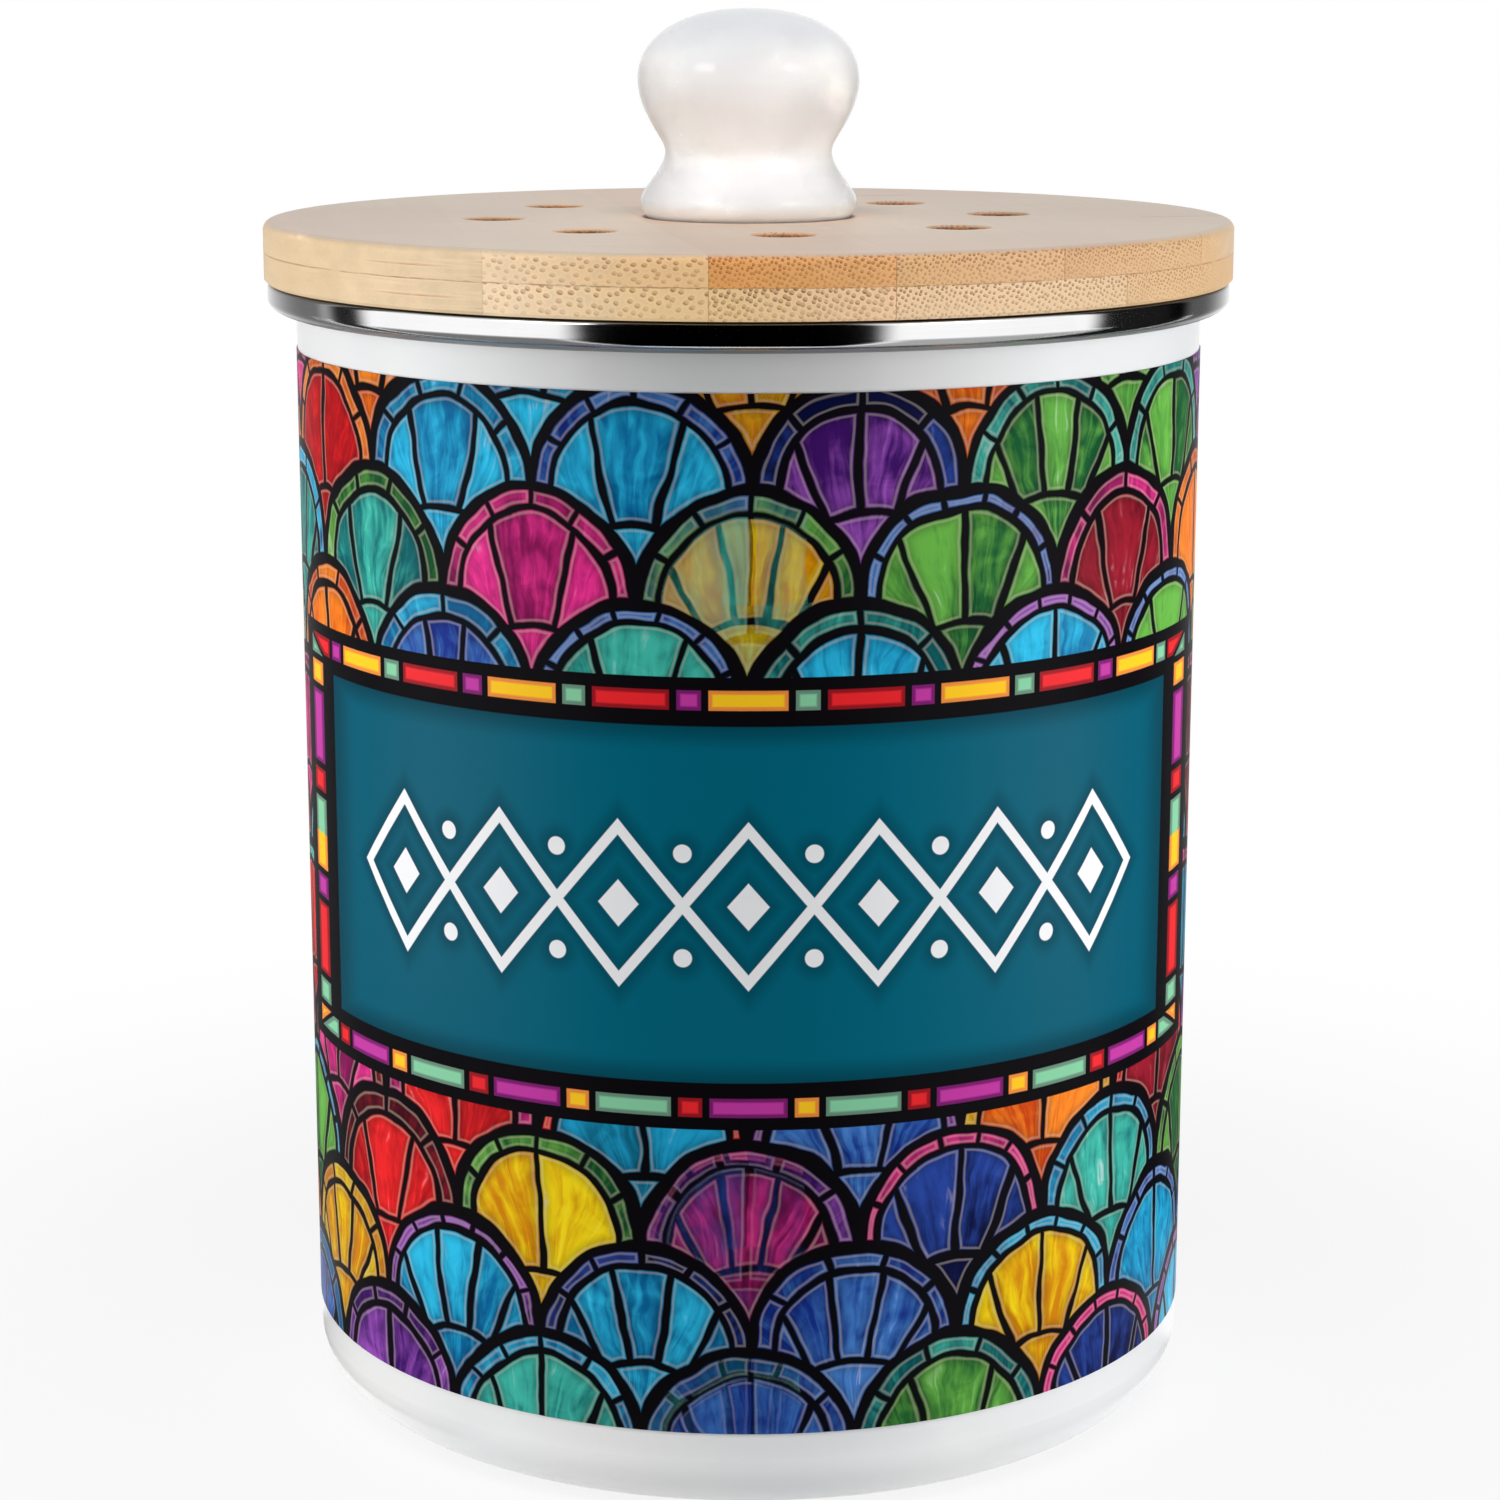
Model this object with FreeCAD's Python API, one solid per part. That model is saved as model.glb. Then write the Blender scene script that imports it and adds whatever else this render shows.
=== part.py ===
import FreeCAD, Part

import math
import os

# Countertop compost caddy: an enamelled steel canister with a stainless rim band and a printed
# sleeve, closed by a two-ply bamboo lid. The lid carries a ceramic knob, eight vent holes, a plug
# ring with a silicone seal, and a charcoal filter pad held by three turning clips.
# Frame: +Z up, origin at the centre of the face that the caddy stands on, front towards -Y.
# All lengths are millimetres, all angles degrees.

Vector = FreeCAD.Vector
UP = Vector(0, 0, 1)
ORIGIN = Vector(0, 0, 0)
FULL_TURN = 360.0
CUT_OVERRUN = 2.0  # how far every cutting tool runs past the face that it opens

# Canister: drawn steel, enamelled inside and out
canister_height = 198.2  # standing face to the top of the rim band
canister_radius = 78.6  # outside of the enamelled wall
wall = 0.9
corner_radius = 10.2  # outer radius where the wall turns into the floor
foot_width = 2.6  # flat ring that the canister stands on
foot_slope = 3.0  # how far the stamped floor takes to rise behind the foot ring
floor_lift = 1.6  # the stamped floor's height over the standing face
curl_round = 0.8  # outer radius of the bends in the curled edge
curl_drop = 2.3  # length of the curled edge's outer leg
neck_round = 1.2  # radius under the curled edge, where the wall turns outwards

# Rim band: polished stainless strip pressed over the curled edge
band_sheet = 0.5
band_overhang = 4.85  # how far the band's outside stands out from the canister wall
band_height = 5.7
band_straight = 2.9  # upright part of the band's outer side
band_top_round = 1.0
band_inner_leg = 3.4  # how far the band reaches down inside the mouth
band_inner_round = 0.7
band_lip_gap = 0.25  # from the band's lower lip to the canister wall
seat_gap = 0.05  # clearance between pieces that are fitted together

# Printed sleeve on the wall
sleeve_sheet = 0.15
sleeve_bottom_gap = 5.1  # from the rounded corner up to the sleeve
sleeve_top_gap = 11.5  # from the sleeve up to the top of the rim band
sleeve_seam = 0.6  # butt joint at the back
sleeve_gap = 0.02  # layer of adhesive

# Lid boards: two glued bamboo plies, each of staves that run front to back
lid_overhang = 0.55  # how far the lid's edge stands out past the band
ply_thickness = 5.15
lid_top_round = 1.5
lid_bottom_bevel = 0.5
stave_angle = 8.9  # the staves' direction, off front to back
upper_joint_shares = (-0.62, -0.226, 0.117, 0.456, 0.80)  # glue joints, as shares of the lid radius
lower_joint_shares = (-0.62, -0.226, 0.117, 0.60)
vent_count = 8
vent_radius = 5.0
vent_circle_share = 0.5274  # the holes' circle, as a share of the lid radius
vent_first_angle = 7.5  # the first hole's place, off the front
vent_chamfer = 0.6

# Plug ring under the lid, with the seal's groove in its side
plug_gap = 3.2  # from the ring to the rim band, closed by the seal's fins
plug_ring_width = 12.5
plug_chamfer = 0.8
groove_depth = 2.0
groove_height = 5.0
groove_top_inset = 2.6  # from the lid's underside to the groove

# Silicone seal
seal_gap = 0.1  # above and below the seal in its groove
seal_mouth_gap = 0.3  # from the fins to the rim band
seal_body_proud = 0.2  # how far the seal's body stands out of the groove
fin_count = 2
fin_root = 0.9
fin_tip = 0.45
fin_rise = 0.7  # how far a fin's tip lies above its root

# Charcoal filter pad
filter_thickness = 10.0
filter_gap = 0.4  # around the pad in its recess
filter_round = 1.0
filter_clip_gap = 0.2  # from the pad down to the clips

# Turning clips and their screws
clip_count = 3
clip_first_angle = 38.0  # where the first clip sits, about the vertical
clip_sheet = 1.0
clip_width = 8.0
clip_reach = 16.0  # pivot to tip
clip_gap = 0.1  # over and under the clip, so that it turns
clip_tab_width = 5.0
clip_tab_drop = 2.6
pivot_gap = 0.06  # around the screw's shank
screw_radius = 1.5
screw_end_gap = 2.7  # from the screw's point to the lid's underside
screw_point = 2.0
screw_head_radius = 3.2
screw_head_height = 1.9

# Knob: glazed ceramic with a threaded brass insert
knob_height = 35.6
knob_radius = 19.2  # the ball, where it is widest
knob_foot_radius = 17.8
knob_line_shares = (  # flange, waist and ball, as shares of the knob's radius and height
    (0.981, 0.073),
    (0.930, 0.140),
    (0.820, 0.225),
    (0.757, 0.317),
    (0.833, 0.407),
    (0.944, 0.520),
    (1.000, 0.660),
)
knob_crown_fullness = 2.17  # 2 is a plain ellipse, more is squarer
insert_radius = 4.0
insert_length = 12.0
insert_floor_gap = 1.0  # from the insert's end to the end of its hole

# Knob screw and washer, in a counterbore in the lower ply
bolt_radius = 2.0
bolt_end_gap = 1.5  # from the bolt's end to the insert's end
bolt_head_radius = 4.0
bolt_head_height = 2.6
bolt_head_gap = 0.2  # from the bolt's head to the filter pad
bolt_gap = 0.2  # around the bolt in the lid
washer_radius = 4.8
washer_sheet = 0.8
counterbore_gap = 1.2  # around the washer

# Cross recess in every screw head, as shares of the head's radius and height
cross_arm_share = 0.62
cross_width_share = 0.22
cross_depth_share = 0.6
head_crown_share = 0.55  # the rounded part of a pan head's height

# Places that follow from the sizes above
lid_thickness = 2 * ply_thickness
lid_underside = canister_height
lid_top = lid_underside + lid_thickness
ply_joint = lid_underside + ply_thickness
mouth_radius = canister_radius - wall
band_radius = canister_radius + band_overhang
band_inner_radius = mouth_radius - seat_gap - band_sheet
curl_top = canister_height - band_sheet - seat_gap
curl_radius = band_radius - band_sheet - seat_gap
sleeve_bottom = corner_radius + sleeve_bottom_gap
sleeve_top = canister_height - sleeve_top_gap
lid_radius = band_radius + lid_overhang
vent_circle_radius = vent_circle_share * lid_radius
plug_radius = band_inner_radius - plug_gap
recess_radius = plug_radius - plug_ring_width
plug_height = filter_thickness + filter_clip_gap
plug_bottom = lid_underside - plug_height
groove_radius = plug_radius - groove_depth
groove_top = lid_underside - groove_top_inset
groove_bottom = groove_top - groove_height
clip_circle_radius = (recess_radius + groove_radius) / 2
clip_top = plug_bottom - clip_gap
clip_bottom = clip_top - clip_sheet
screw_tip = lid_underside - screw_end_gap
counterbore_radius = washer_radius + counterbore_gap
washer_seat = lid_underside + bolt_head_gap + bolt_head_height + washer_sheet


class Outline:
    """A half section in the XZ plane, drawn point by point and turned about the Z axis."""

    def __init__(self, radius, height):
        self.first = Vector(radius, 0, height)
        self.last = self.first
        self.edges = []

    def line_to(self, radius, height):
        end = Vector(radius, 0, height)
        self.edges.append(Part.LineSegment(self.last, end).toShape())
        self.last = end
        return self

    def round_to(self, radius, height, centre_radius, centre_height):
        """A circular arc to a point, about a centre, the short way round."""
        centre = Vector(centre_radius, 0, centre_height)
        end = Vector(radius, 0, height)
        towards = (self.last - centre) + (end - centre)
        towards.normalize()
        middle = centre + towards * (end - centre).Length
        self.edges.append(Part.Arc(self.last, middle, end).toShape())
        self.last = end
        return self

    def curve_to(self, points, start_direction, end_direction):
        """A smooth curve through points, with the given directions at its two ends."""
        places = [self.last] + [Vector(radius, 0, height) for radius, height in points]
        travelled = [0]
        for place, following in zip(places, places[1:]):
            travelled.append(travelled[-1] + (following - place).Length)
        start = Vector(start_direction[0], 0, start_direction[1])
        end = Vector(end_direction[0], 0, end_direction[1])
        curve = Part.BSplineCurve()
        curve.interpolate(
            Points=places,
            Parameters=travelled,
            InitialTangent=start.normalize(),
            FinalTangent=end.normalize(),
            Scale=False,
        )
        self.edges.append(curve.toShape())
        self.last = places[-1]
        return self

    def turned(self):
        """The solid of revolution that the closed outline makes."""
        if (self.last - self.first).Length > 0:
            self.line_to(self.first.x, self.first.z)
        face = Part.Face(Part.Wire(self.edges))
        return face.revolve(ORIGIN, UP, FULL_TURN)


def quarter_ellipse(centre, across, high, start_angle, end_angle, fullness=2, steps=8):
    """Points of a quarter of an upright ellipse, without its first point."""
    power = 2 / fullness
    points = []
    for step in range(1, steps + 1):
        angle = math.radians(start_angle + (end_angle - start_angle) * step / steps)
        sideways = across * abs(math.cos(angle)) ** power
        upwards = high * abs(math.sin(angle)) ** power
        points.append((centre[0] + sideways, centre[1] + upwards))
    return points


def disc(radius, low, high):
    """A plain upright cylinder about the Z axis."""
    return Part.makeCylinder(radius, high - low, Vector(0, 0, low))


def on_circle(radius, angle):
    """The offset to a place on a circle about the Z axis, with angle 0 at the front."""
    turned = math.radians(angle)
    return Vector(radius * math.sin(turned), -radius * math.cos(turned), 0)


def turned_about_axis(shape, angle):
    """A copy turned about the Z axis."""
    copy = shape.copy()
    copy.rotate(ORIGIN, UP, angle)
    return copy


def canister_shell():
    """The drawn steel shell: stamped floor, rounded corner, upright wall and curled edge."""
    foot_outer = canister_radius - corner_radius
    foot_inner = foot_outer - foot_width
    floor_edge = foot_inner - foot_slope
    inner_corner = corner_radius - wall
    leg_inner = curl_radius - wall
    leg_bottom = curl_top - curl_drop
    under_curl = curl_top - wall
    outline = Outline(0, floor_lift)
    outline.line_to(floor_edge, floor_lift)
    outline.line_to(foot_inner, 0)
    outline.line_to(foot_outer, 0)
    outline.round_to(canister_radius, corner_radius, foot_outer, corner_radius)
    outline.line_to(canister_radius, under_curl - neck_round)
    outline.round_to(
        canister_radius + neck_round, under_curl, canister_radius + neck_round, under_curl - neck_round
    )
    outline.line_to(leg_inner, under_curl)
    outline.line_to(leg_inner, leg_bottom)
    outline.line_to(curl_radius, leg_bottom)
    outline.line_to(curl_radius, curl_top - curl_round)
    outline.round_to(curl_radius - curl_round, curl_top, curl_radius - curl_round, curl_top - curl_round)
    outline.line_to(mouth_radius + curl_round, curl_top)
    outline.round_to(mouth_radius, curl_top - curl_round, mouth_radius + curl_round, curl_top - curl_round)
    outline.line_to(mouth_radius, corner_radius)
    outline.round_to(foot_outer, wall, foot_outer, wall + inner_corner)
    outline.line_to(foot_inner, wall)
    outline.line_to(floor_edge, floor_lift + wall)
    outline.line_to(0, floor_lift + wall)
    return outline.turned()


def rim_band():
    """The stainless strip: inner leg, flat top, upright side and a lip tucked under the curl."""
    top = canister_height
    lip_radius = canister_radius + band_lip_gap
    lip_height = top - band_height
    belly = top - band_straight
    across = band_radius - lip_radius
    high = band_height - band_straight
    inner_side = band_inner_radius + band_sheet
    outline = Outline(band_inner_radius, top - band_inner_leg)
    outline.line_to(band_inner_radius, top - band_inner_round)
    outline.round_to(
        band_inner_radius + band_inner_round,
        top,
        band_inner_radius + band_inner_round,
        top - band_inner_round,
    )
    outline.line_to(band_radius - band_top_round, top)
    outline.round_to(band_radius, top - band_top_round, band_radius - band_top_round, top - band_top_round)
    outline.line_to(band_radius, belly)
    outer_belly = quarter_ellipse((lip_radius, belly), across, -high, 0, 90)
    outline.curve_to(outer_belly, (0, -1), (-1, 0))
    outline.line_to(lip_radius, lip_height + band_sheet)
    inner_belly = quarter_ellipse((lip_radius, belly), across - band_sheet, -(high - band_sheet), 90, 0)
    outline.curve_to(inner_belly, (1, 0), (0, 1))
    outline.line_to(band_radius - band_sheet, top - band_sheet)
    outline.line_to(inner_side, top - band_sheet)
    outline.line_to(inner_side, top - band_inner_leg)
    return outline.turned()


def printed_sleeve():
    """The printed sheet round the wall, with its butt joint at the back."""
    inner = canister_radius + sleeve_gap
    outer = inner + sleeve_sheet
    sleeve = disc(outer, sleeve_bottom, sleeve_top).cut(
        disc(inner, sleeve_bottom - CUT_OVERRUN, sleeve_top + CUT_OVERRUN)
    )
    joint = Part.makeBox(
        sleeve_seam,
        2 * CUT_OVERRUN,
        sleeve_top - sleeve_bottom + 2 * CUT_OVERRUN,
        Vector(-sleeve_seam / 2, outer - CUT_OVERRUN, sleeve_bottom - CUT_OVERRUN),
    )
    return sleeve.cut(joint)


def vent_tools():
    """The eight vent holes through both plies, with a small chamfer at the top face."""
    tools = []
    for number in range(vent_count):
        place = on_circle(vent_circle_radius, vent_first_angle + number * FULL_TURN / vent_count)
        hole = disc(vent_radius, lid_underside - CUT_OVERRUN, lid_top + CUT_OVERRUN)
        flare = Part.makeCone(
            vent_radius,
            vent_radius + 2 * vent_chamfer,
            2 * vent_chamfer,
            Vector(0, 0, lid_top - vent_chamfer),
        )
        tool = hole.fuse(flare)
        tool.translate(place)
        tools.append(tool)
    return tools


def bolt_hole_tools():
    """The knob bolt's hole and the counterbore for its washer and head."""
    hole = disc(bolt_radius + bolt_gap, lid_underside - CUT_OVERRUN, lid_top + CUT_OVERRUN)
    counterbore = disc(counterbore_radius, lid_underside - CUT_OVERRUN, washer_seat)
    return [hole, counterbore]


def upper_ply():
    """The whole upper board, rounded at its top edge, before it is split into staves."""
    outline = Outline(0, ply_joint)
    outline.line_to(lid_radius, ply_joint)
    outline.line_to(lid_radius, lid_top - lid_top_round)
    outline.round_to(
        lid_radius - lid_top_round, lid_top, lid_radius - lid_top_round, lid_top - lid_top_round
    )
    outline.line_to(0, lid_top)
    return outline.turned().cut(vent_tools() + bolt_hole_tools())


def lower_ply():
    """The whole lower board, bevelled at its bottom edge, before it is split into staves."""
    outline = Outline(0, lid_underside)
    outline.line_to(lid_radius - lid_bottom_bevel, lid_underside)
    outline.line_to(lid_radius, lid_underside + lid_bottom_bevel)
    outline.line_to(lid_radius, ply_joint)
    outline.line_to(0, ply_joint)
    return outline.turned().cut(vent_tools() + bolt_hole_tools())


def staves(ply, joint_shares):
    """Cuts a ply into its staves along the glue joints, from left to right."""
    past_edge = lid_radius + CUT_OVERRUN
    joints = [-past_edge] + [share * lid_radius for share in joint_shares] + [past_edge]
    pieces = []
    for left, right in zip(joints, joints[1:]):
        slab = Part.makeBox(
            right - left,
            2 * past_edge,
            lid_thickness + 2 * CUT_OVERRUN,
            Vector(left, -past_edge, lid_underside - CUT_OVERRUN),
        )
        pieces.append(ply.common(turned_about_axis(slab, stave_angle)))
    return pieces


def clip_angles():
    """Where the clips sit, about the vertical."""
    return [clip_first_angle + number * FULL_TURN / clip_count for number in range(clip_count)]


def plug_ring():
    """The bamboo ring glued under the lid: filter recess inside, seal groove outside."""
    outline = Outline(recess_radius, plug_bottom)
    outline.line_to(plug_radius - plug_chamfer, plug_bottom)
    outline.line_to(plug_radius, plug_bottom + plug_chamfer)
    outline.line_to(plug_radius, groove_bottom)
    outline.line_to(groove_radius, groove_bottom)
    outline.line_to(groove_radius, groove_top)
    outline.line_to(plug_radius, groove_top)
    outline.line_to(plug_radius, lid_underside)
    outline.line_to(recess_radius, lid_underside)
    ring = outline.turned()
    pilots = []
    for angle in clip_angles():
        pilot = disc(screw_radius + seat_gap, plug_bottom - CUT_OVERRUN, screw_tip + seat_gap)
        pilot.translate(on_circle(clip_circle_radius, angle))
        pilots.append(pilot)
    return ring.cut(pilots)


def lid_seal():
    """The silicone seal: a body that fills the groove and fins that close on the mouth."""
    body_bottom = groove_bottom + seal_gap
    body_top = groove_top - seal_gap
    body_inner = groove_radius + seat_gap
    body_outer = plug_radius + seal_body_proud
    fin_radius = band_inner_radius - seal_mouth_gap
    pitch = (body_top - body_bottom - fin_root) / fin_count
    outline = Outline(body_inner, body_bottom)
    outline.line_to(body_outer, body_bottom)
    for number in range(fin_count):
        root = body_bottom + pitch / 2 + number * pitch
        outline.line_to(body_outer, root)
        outline.line_to(fin_radius, root + fin_rise)
        outline.line_to(fin_radius, root + fin_rise + fin_tip)
        outline.line_to(body_outer, root + fin_root)
    outline.line_to(body_outer, body_top)
    outline.line_to(body_inner, body_top)
    return outline.turned()


def charcoal_filter():
    """The round foam pad that fills the recess, softened at both edges."""
    radius = recess_radius - filter_gap
    low = lid_underside - filter_thickness
    outline = Outline(0, low)
    outline.line_to(radius - filter_round, low)
    outline.round_to(radius, low + filter_round, radius - filter_round, low + filter_round)
    outline.line_to(radius, lid_underside - filter_round)
    outline.round_to(
        radius - filter_round, lid_underside, radius - filter_round, lid_underside - filter_round
    )
    outline.line_to(0, lid_underside)
    return outline.turned()


def filter_clip(angle):
    """A turning clip, drawn in from its pivot over the pad, with a finger tab at its tip."""
    half = clip_width / 2
    straight = clip_reach - half
    strip = disc(half, clip_bottom, clip_top)
    bar = Part.makeBox(clip_width, straight, clip_sheet, Vector(-half, 0, clip_bottom))
    tip = disc(half, clip_bottom, clip_top)
    tip.translate(Vector(0, straight, 0))
    tab = Part.makeBox(
        clip_tab_width,
        clip_sheet,
        clip_tab_drop,
        Vector(-clip_tab_width / 2, straight + half / 2, clip_bottom - clip_tab_drop),
    )
    hole = disc(screw_radius + pivot_gap, clip_bottom - CUT_OVERRUN, clip_top + CUT_OVERRUN)
    clip = strip.fuse([bar, tip, tab]).removeSplitter().cut(hole)
    clip.rotate(ORIGIN, UP, angle)
    clip.translate(on_circle(clip_circle_radius, angle))
    return clip


def pan_head(radius, height, low):
    """A pan head that hangs down from its seat, with a cross recess in its crown."""
    crown = head_crown_share * height
    seat = low + height
    outline = Outline(0, low)
    dome = quarter_ellipse((0, low + crown), radius, -crown, 90, 0)
    outline.curve_to(dome, (1, 0), (0, 1))
    outline.line_to(radius, seat)
    outline.line_to(0, seat)
    head = outline.turned()
    arm = cross_arm_share * radius
    width = cross_width_share * radius
    depth = cross_depth_share * height
    slots = [
        Part.makeBox(
            2 * half_x,
            2 * half_y,
            depth + CUT_OVERRUN,
            Vector(-half_x, -half_y, low - CUT_OVERRUN),
        )
        for half_x, half_y in ((arm, width), (width, arm))
    ]
    return head.cut(slots)


def clip_screws():
    """The three wood screws that the clips turn on."""
    head_low = clip_bottom - clip_gap - screw_head_height
    seat = head_low + screw_head_height
    shank_top = screw_tip - screw_point
    screws = []
    for angle in clip_angles():
        shank = disc(screw_radius, seat, shank_top)
        point = Part.makeCone(screw_radius, 0, screw_point, Vector(0, 0, shank_top))
        head = pan_head(screw_head_radius, screw_head_height, head_low)
        screw = head.fuse([shank, point]).removeSplitter()
        screw.translate(on_circle(clip_circle_radius, angle))
        screws.append(screw)
    return Part.makeCompound(screws)


def knob():
    """The ceramic knob: flange, waist and ball in one smooth line, with the insert's blind hole."""
    foot = lid_top
    line = [
        (radius_share * knob_radius, foot + height_share * knob_height)
        for radius_share, height_share in knob_line_shares
    ]
    outline = Outline(0, foot)
    outline.line_to(knob_foot_radius, foot)
    outline.curve_to(line, (1, 1), (0, 1))
    ball = line[-1][1]
    crown = quarter_ellipse((0, ball), knob_radius, foot + knob_height - ball, 0, 90, knob_crown_fullness)
    outline.curve_to(crown, (0, 1), (-1, 0))
    hole = disc(
        insert_radius + seat_gap, foot - CUT_OVERRUN, foot + insert_length + insert_floor_gap
    )
    return outline.turned().cut(hole)


def knob_insert():
    """The brass sleeve in the knob that takes the bolt."""
    sleeve = disc(insert_radius, lid_top, lid_top + insert_length)
    bore = disc(bolt_radius + seat_gap, lid_top - CUT_OVERRUN, lid_top + insert_length + CUT_OVERRUN)
    return sleeve.cut(bore)


def knob_washer():
    """The plain washer between the bolt's head and the lid."""
    low = washer_seat - washer_sheet
    hole = disc(bolt_radius + seat_gap, low - CUT_OVERRUN, washer_seat + CUT_OVERRUN)
    return disc(washer_radius, low, washer_seat).cut(hole)


def knob_bolt():
    """The machine screw that holds the knob, put in from the filter's side."""
    seat = washer_seat - washer_sheet
    head = pan_head(bolt_head_radius, bolt_head_height, seat - bolt_head_height)
    shank = disc(bolt_radius, seat, lid_top + insert_length - bolt_end_gap)
    return head.fuse(shank).removeSplitter()


def numbered(name, shapes):
    """Gives like pieces their numbered node names."""
    return {f"{name}_{number}": shape for number, shape in enumerate(shapes, start=1)}


def all_pieces():
    """Every node of the caddy, by name."""
    pieces = {
        "canister_shell": canister_shell(),
        "rim_band": rim_band(),
        "printed_sleeve": printed_sleeve(),
        "plug_ring": plug_ring(),
        "lid_seal": lid_seal(),
        "charcoal_filter": charcoal_filter(),
        "clip_screws": clip_screws(),
        "knob": knob(),
        "knob_insert": knob_insert(),
        "knob_washer": knob_washer(),
        "knob_bolt": knob_bolt(),
    }
    pieces.update(numbered("lid_upper_stave", staves(upper_ply(), upper_joint_shares)))
    pieces.update(numbered("lid_lower_stave", staves(lower_ply(), lower_joint_shares)))
    pieces.update(numbered("filter_clip", [filter_clip(angle) for angle in clip_angles()]))
    return pieces


os.makedirs("parts", exist_ok=True)
for node, shape in all_pieces().items():
    shape.exportStep(f"parts/{node}.step")
    print(f"{node}: {len(shape.Solids)} solid(s), {shape.Volume:.1f} mm3, valid {shape.isValid()}")
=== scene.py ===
"""Looks of a countertop compost caddy: its finishes, rim band, filter pad, studio and camera.

Meshes are in metres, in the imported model's own frame: +Z up, the front towards -Y.
Patterns are written in millimetres, on the piece's own Object coordinates.
"""

import logging
import math
from dataclasses import dataclass, field
from enum import Enum
from typing import Any, Callable, Optional, Sequence, Union

import bmesh
import bpy
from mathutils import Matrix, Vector


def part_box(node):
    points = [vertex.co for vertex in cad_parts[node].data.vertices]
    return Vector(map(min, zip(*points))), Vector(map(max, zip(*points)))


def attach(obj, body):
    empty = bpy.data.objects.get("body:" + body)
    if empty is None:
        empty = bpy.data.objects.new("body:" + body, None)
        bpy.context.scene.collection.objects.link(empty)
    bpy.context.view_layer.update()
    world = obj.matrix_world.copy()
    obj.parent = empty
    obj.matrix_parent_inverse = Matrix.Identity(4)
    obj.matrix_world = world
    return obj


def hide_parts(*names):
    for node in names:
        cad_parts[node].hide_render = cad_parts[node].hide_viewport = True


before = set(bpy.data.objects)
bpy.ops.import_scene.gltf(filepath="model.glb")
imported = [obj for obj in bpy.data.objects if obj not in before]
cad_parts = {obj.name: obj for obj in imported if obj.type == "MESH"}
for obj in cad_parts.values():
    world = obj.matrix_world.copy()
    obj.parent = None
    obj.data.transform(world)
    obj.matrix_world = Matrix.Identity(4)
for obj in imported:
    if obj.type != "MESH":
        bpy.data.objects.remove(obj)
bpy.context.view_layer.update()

log = logging.getLogger("compost_caddy")

MM = 0.001
FULL_TURN = 2.0 * math.pi
FAR = 99.0  # beyond every edge, in millimetres
GRAIN_TURN = math.radians(8.9)  # the grain's turn from the Y axis

Tint = tuple[float, float, float, float]
Term = Union["Amount", float]


def screen(red: float, green: float, blue: float) -> Tint:
    """Turns a colour as a screen shows it into the linear one that a shader takes.

    Args:
        red: From 0 to 255, as are the others.
        green: The green part.
        blue: The blue part.

    Returns:
        The linear colour, opaque.
    """
    def part(value: float) -> float:
        """Returns one part, from 0 to 1 and linear."""
        share = value / 255.0
        return share / 12.92 if share <= 0.04045 else ((share + 0.055) / 1.055) ** 2.4

    return part(red), part(green), part(blue), 1.0


def by_node(operation: str, swapped: bool = False) -> Callable[..., "Amount"]:
    """Makes a method of Amount that adds one Math node.

    Args:
        operation: What the node does.
        swapped: Whether the amount itself is the last term.

    Returns:
        The method, which takes the node's other terms.
    """
    def method(self: "Amount", *others: Term) -> "Amount":
        """Returns the node's output."""
        return self.graph.maths(operation, *((*others, self) if swapped else (self, *others)))

    return method


class Amount:
    """An output socket that takes part in Python sums, each of which adds Math nodes."""

    __add__ = __radd__ = by_node("ADD")
    __mul__ = __rmul__ = by_node("MULTIPLY")
    __sub__ = by_node("SUBTRACT")
    __rsub__ = by_node("SUBTRACT", swapped=True)
    __truediv__ = by_node("DIVIDE")
    __rtruediv__ = by_node("DIVIDE", swapped=True)
    __lt__ = by_node("LESS_THAN")
    __gt__ = by_node("GREATER_THAN")
    least = by_node("MINIMUM")
    most = by_node("MAXIMUM")
    size = by_node("ABSOLUTE")
    whole = by_node("FLOOR")
    nearest = by_node("ROUND")
    wrap = by_node("FLOORED_MODULO")  # what is left over whole periods
    power = by_node("POWER")
    sine = by_node("SINE")
    cosine = by_node("COSINE")
    angle_from = by_node("ARCTAN2")  # the angle whose tangent is self / other

    def __init__(self, graph: "Graph", socket: bpy.types.NodeSocket) -> None:
        """Wraps a socket of a graph."""
        self.graph = graph
        self.socket = socket

    def __neg__(self) -> "Amount":
        """Returns -self."""
        return self * -1.0

    def also(self, name: str) -> "Amount":
        """Returns another output of the same node."""
        return Amount(self.graph, self.socket.node.outputs[name])

    def length_with(self, other: Term) -> "Amount":
        """Returns the long side of a right triangle with the sides self and other."""
        return (self * self + other * other).power(0.5)

    def fade(self, zero_at: float, one_at: float) -> "Amount":
        """Makes a soft step.

        Args:
            zero_at: Where it is 0.
            one_at: Where it is 1, to either side of that.

        Returns:
            The step, from 0 to 1.
        """
        return self.graph.node(
            "MapRange",
            {"interpolation_type": "SMOOTHSTEP"},
            {"Value": self, "From Min": zero_at, "From Max": one_at},
        )

    def near_whole(self) -> "Amount":
        """Returns how far the amount is from the nearest whole number."""
        return (self - self.nearest()).size()


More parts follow.
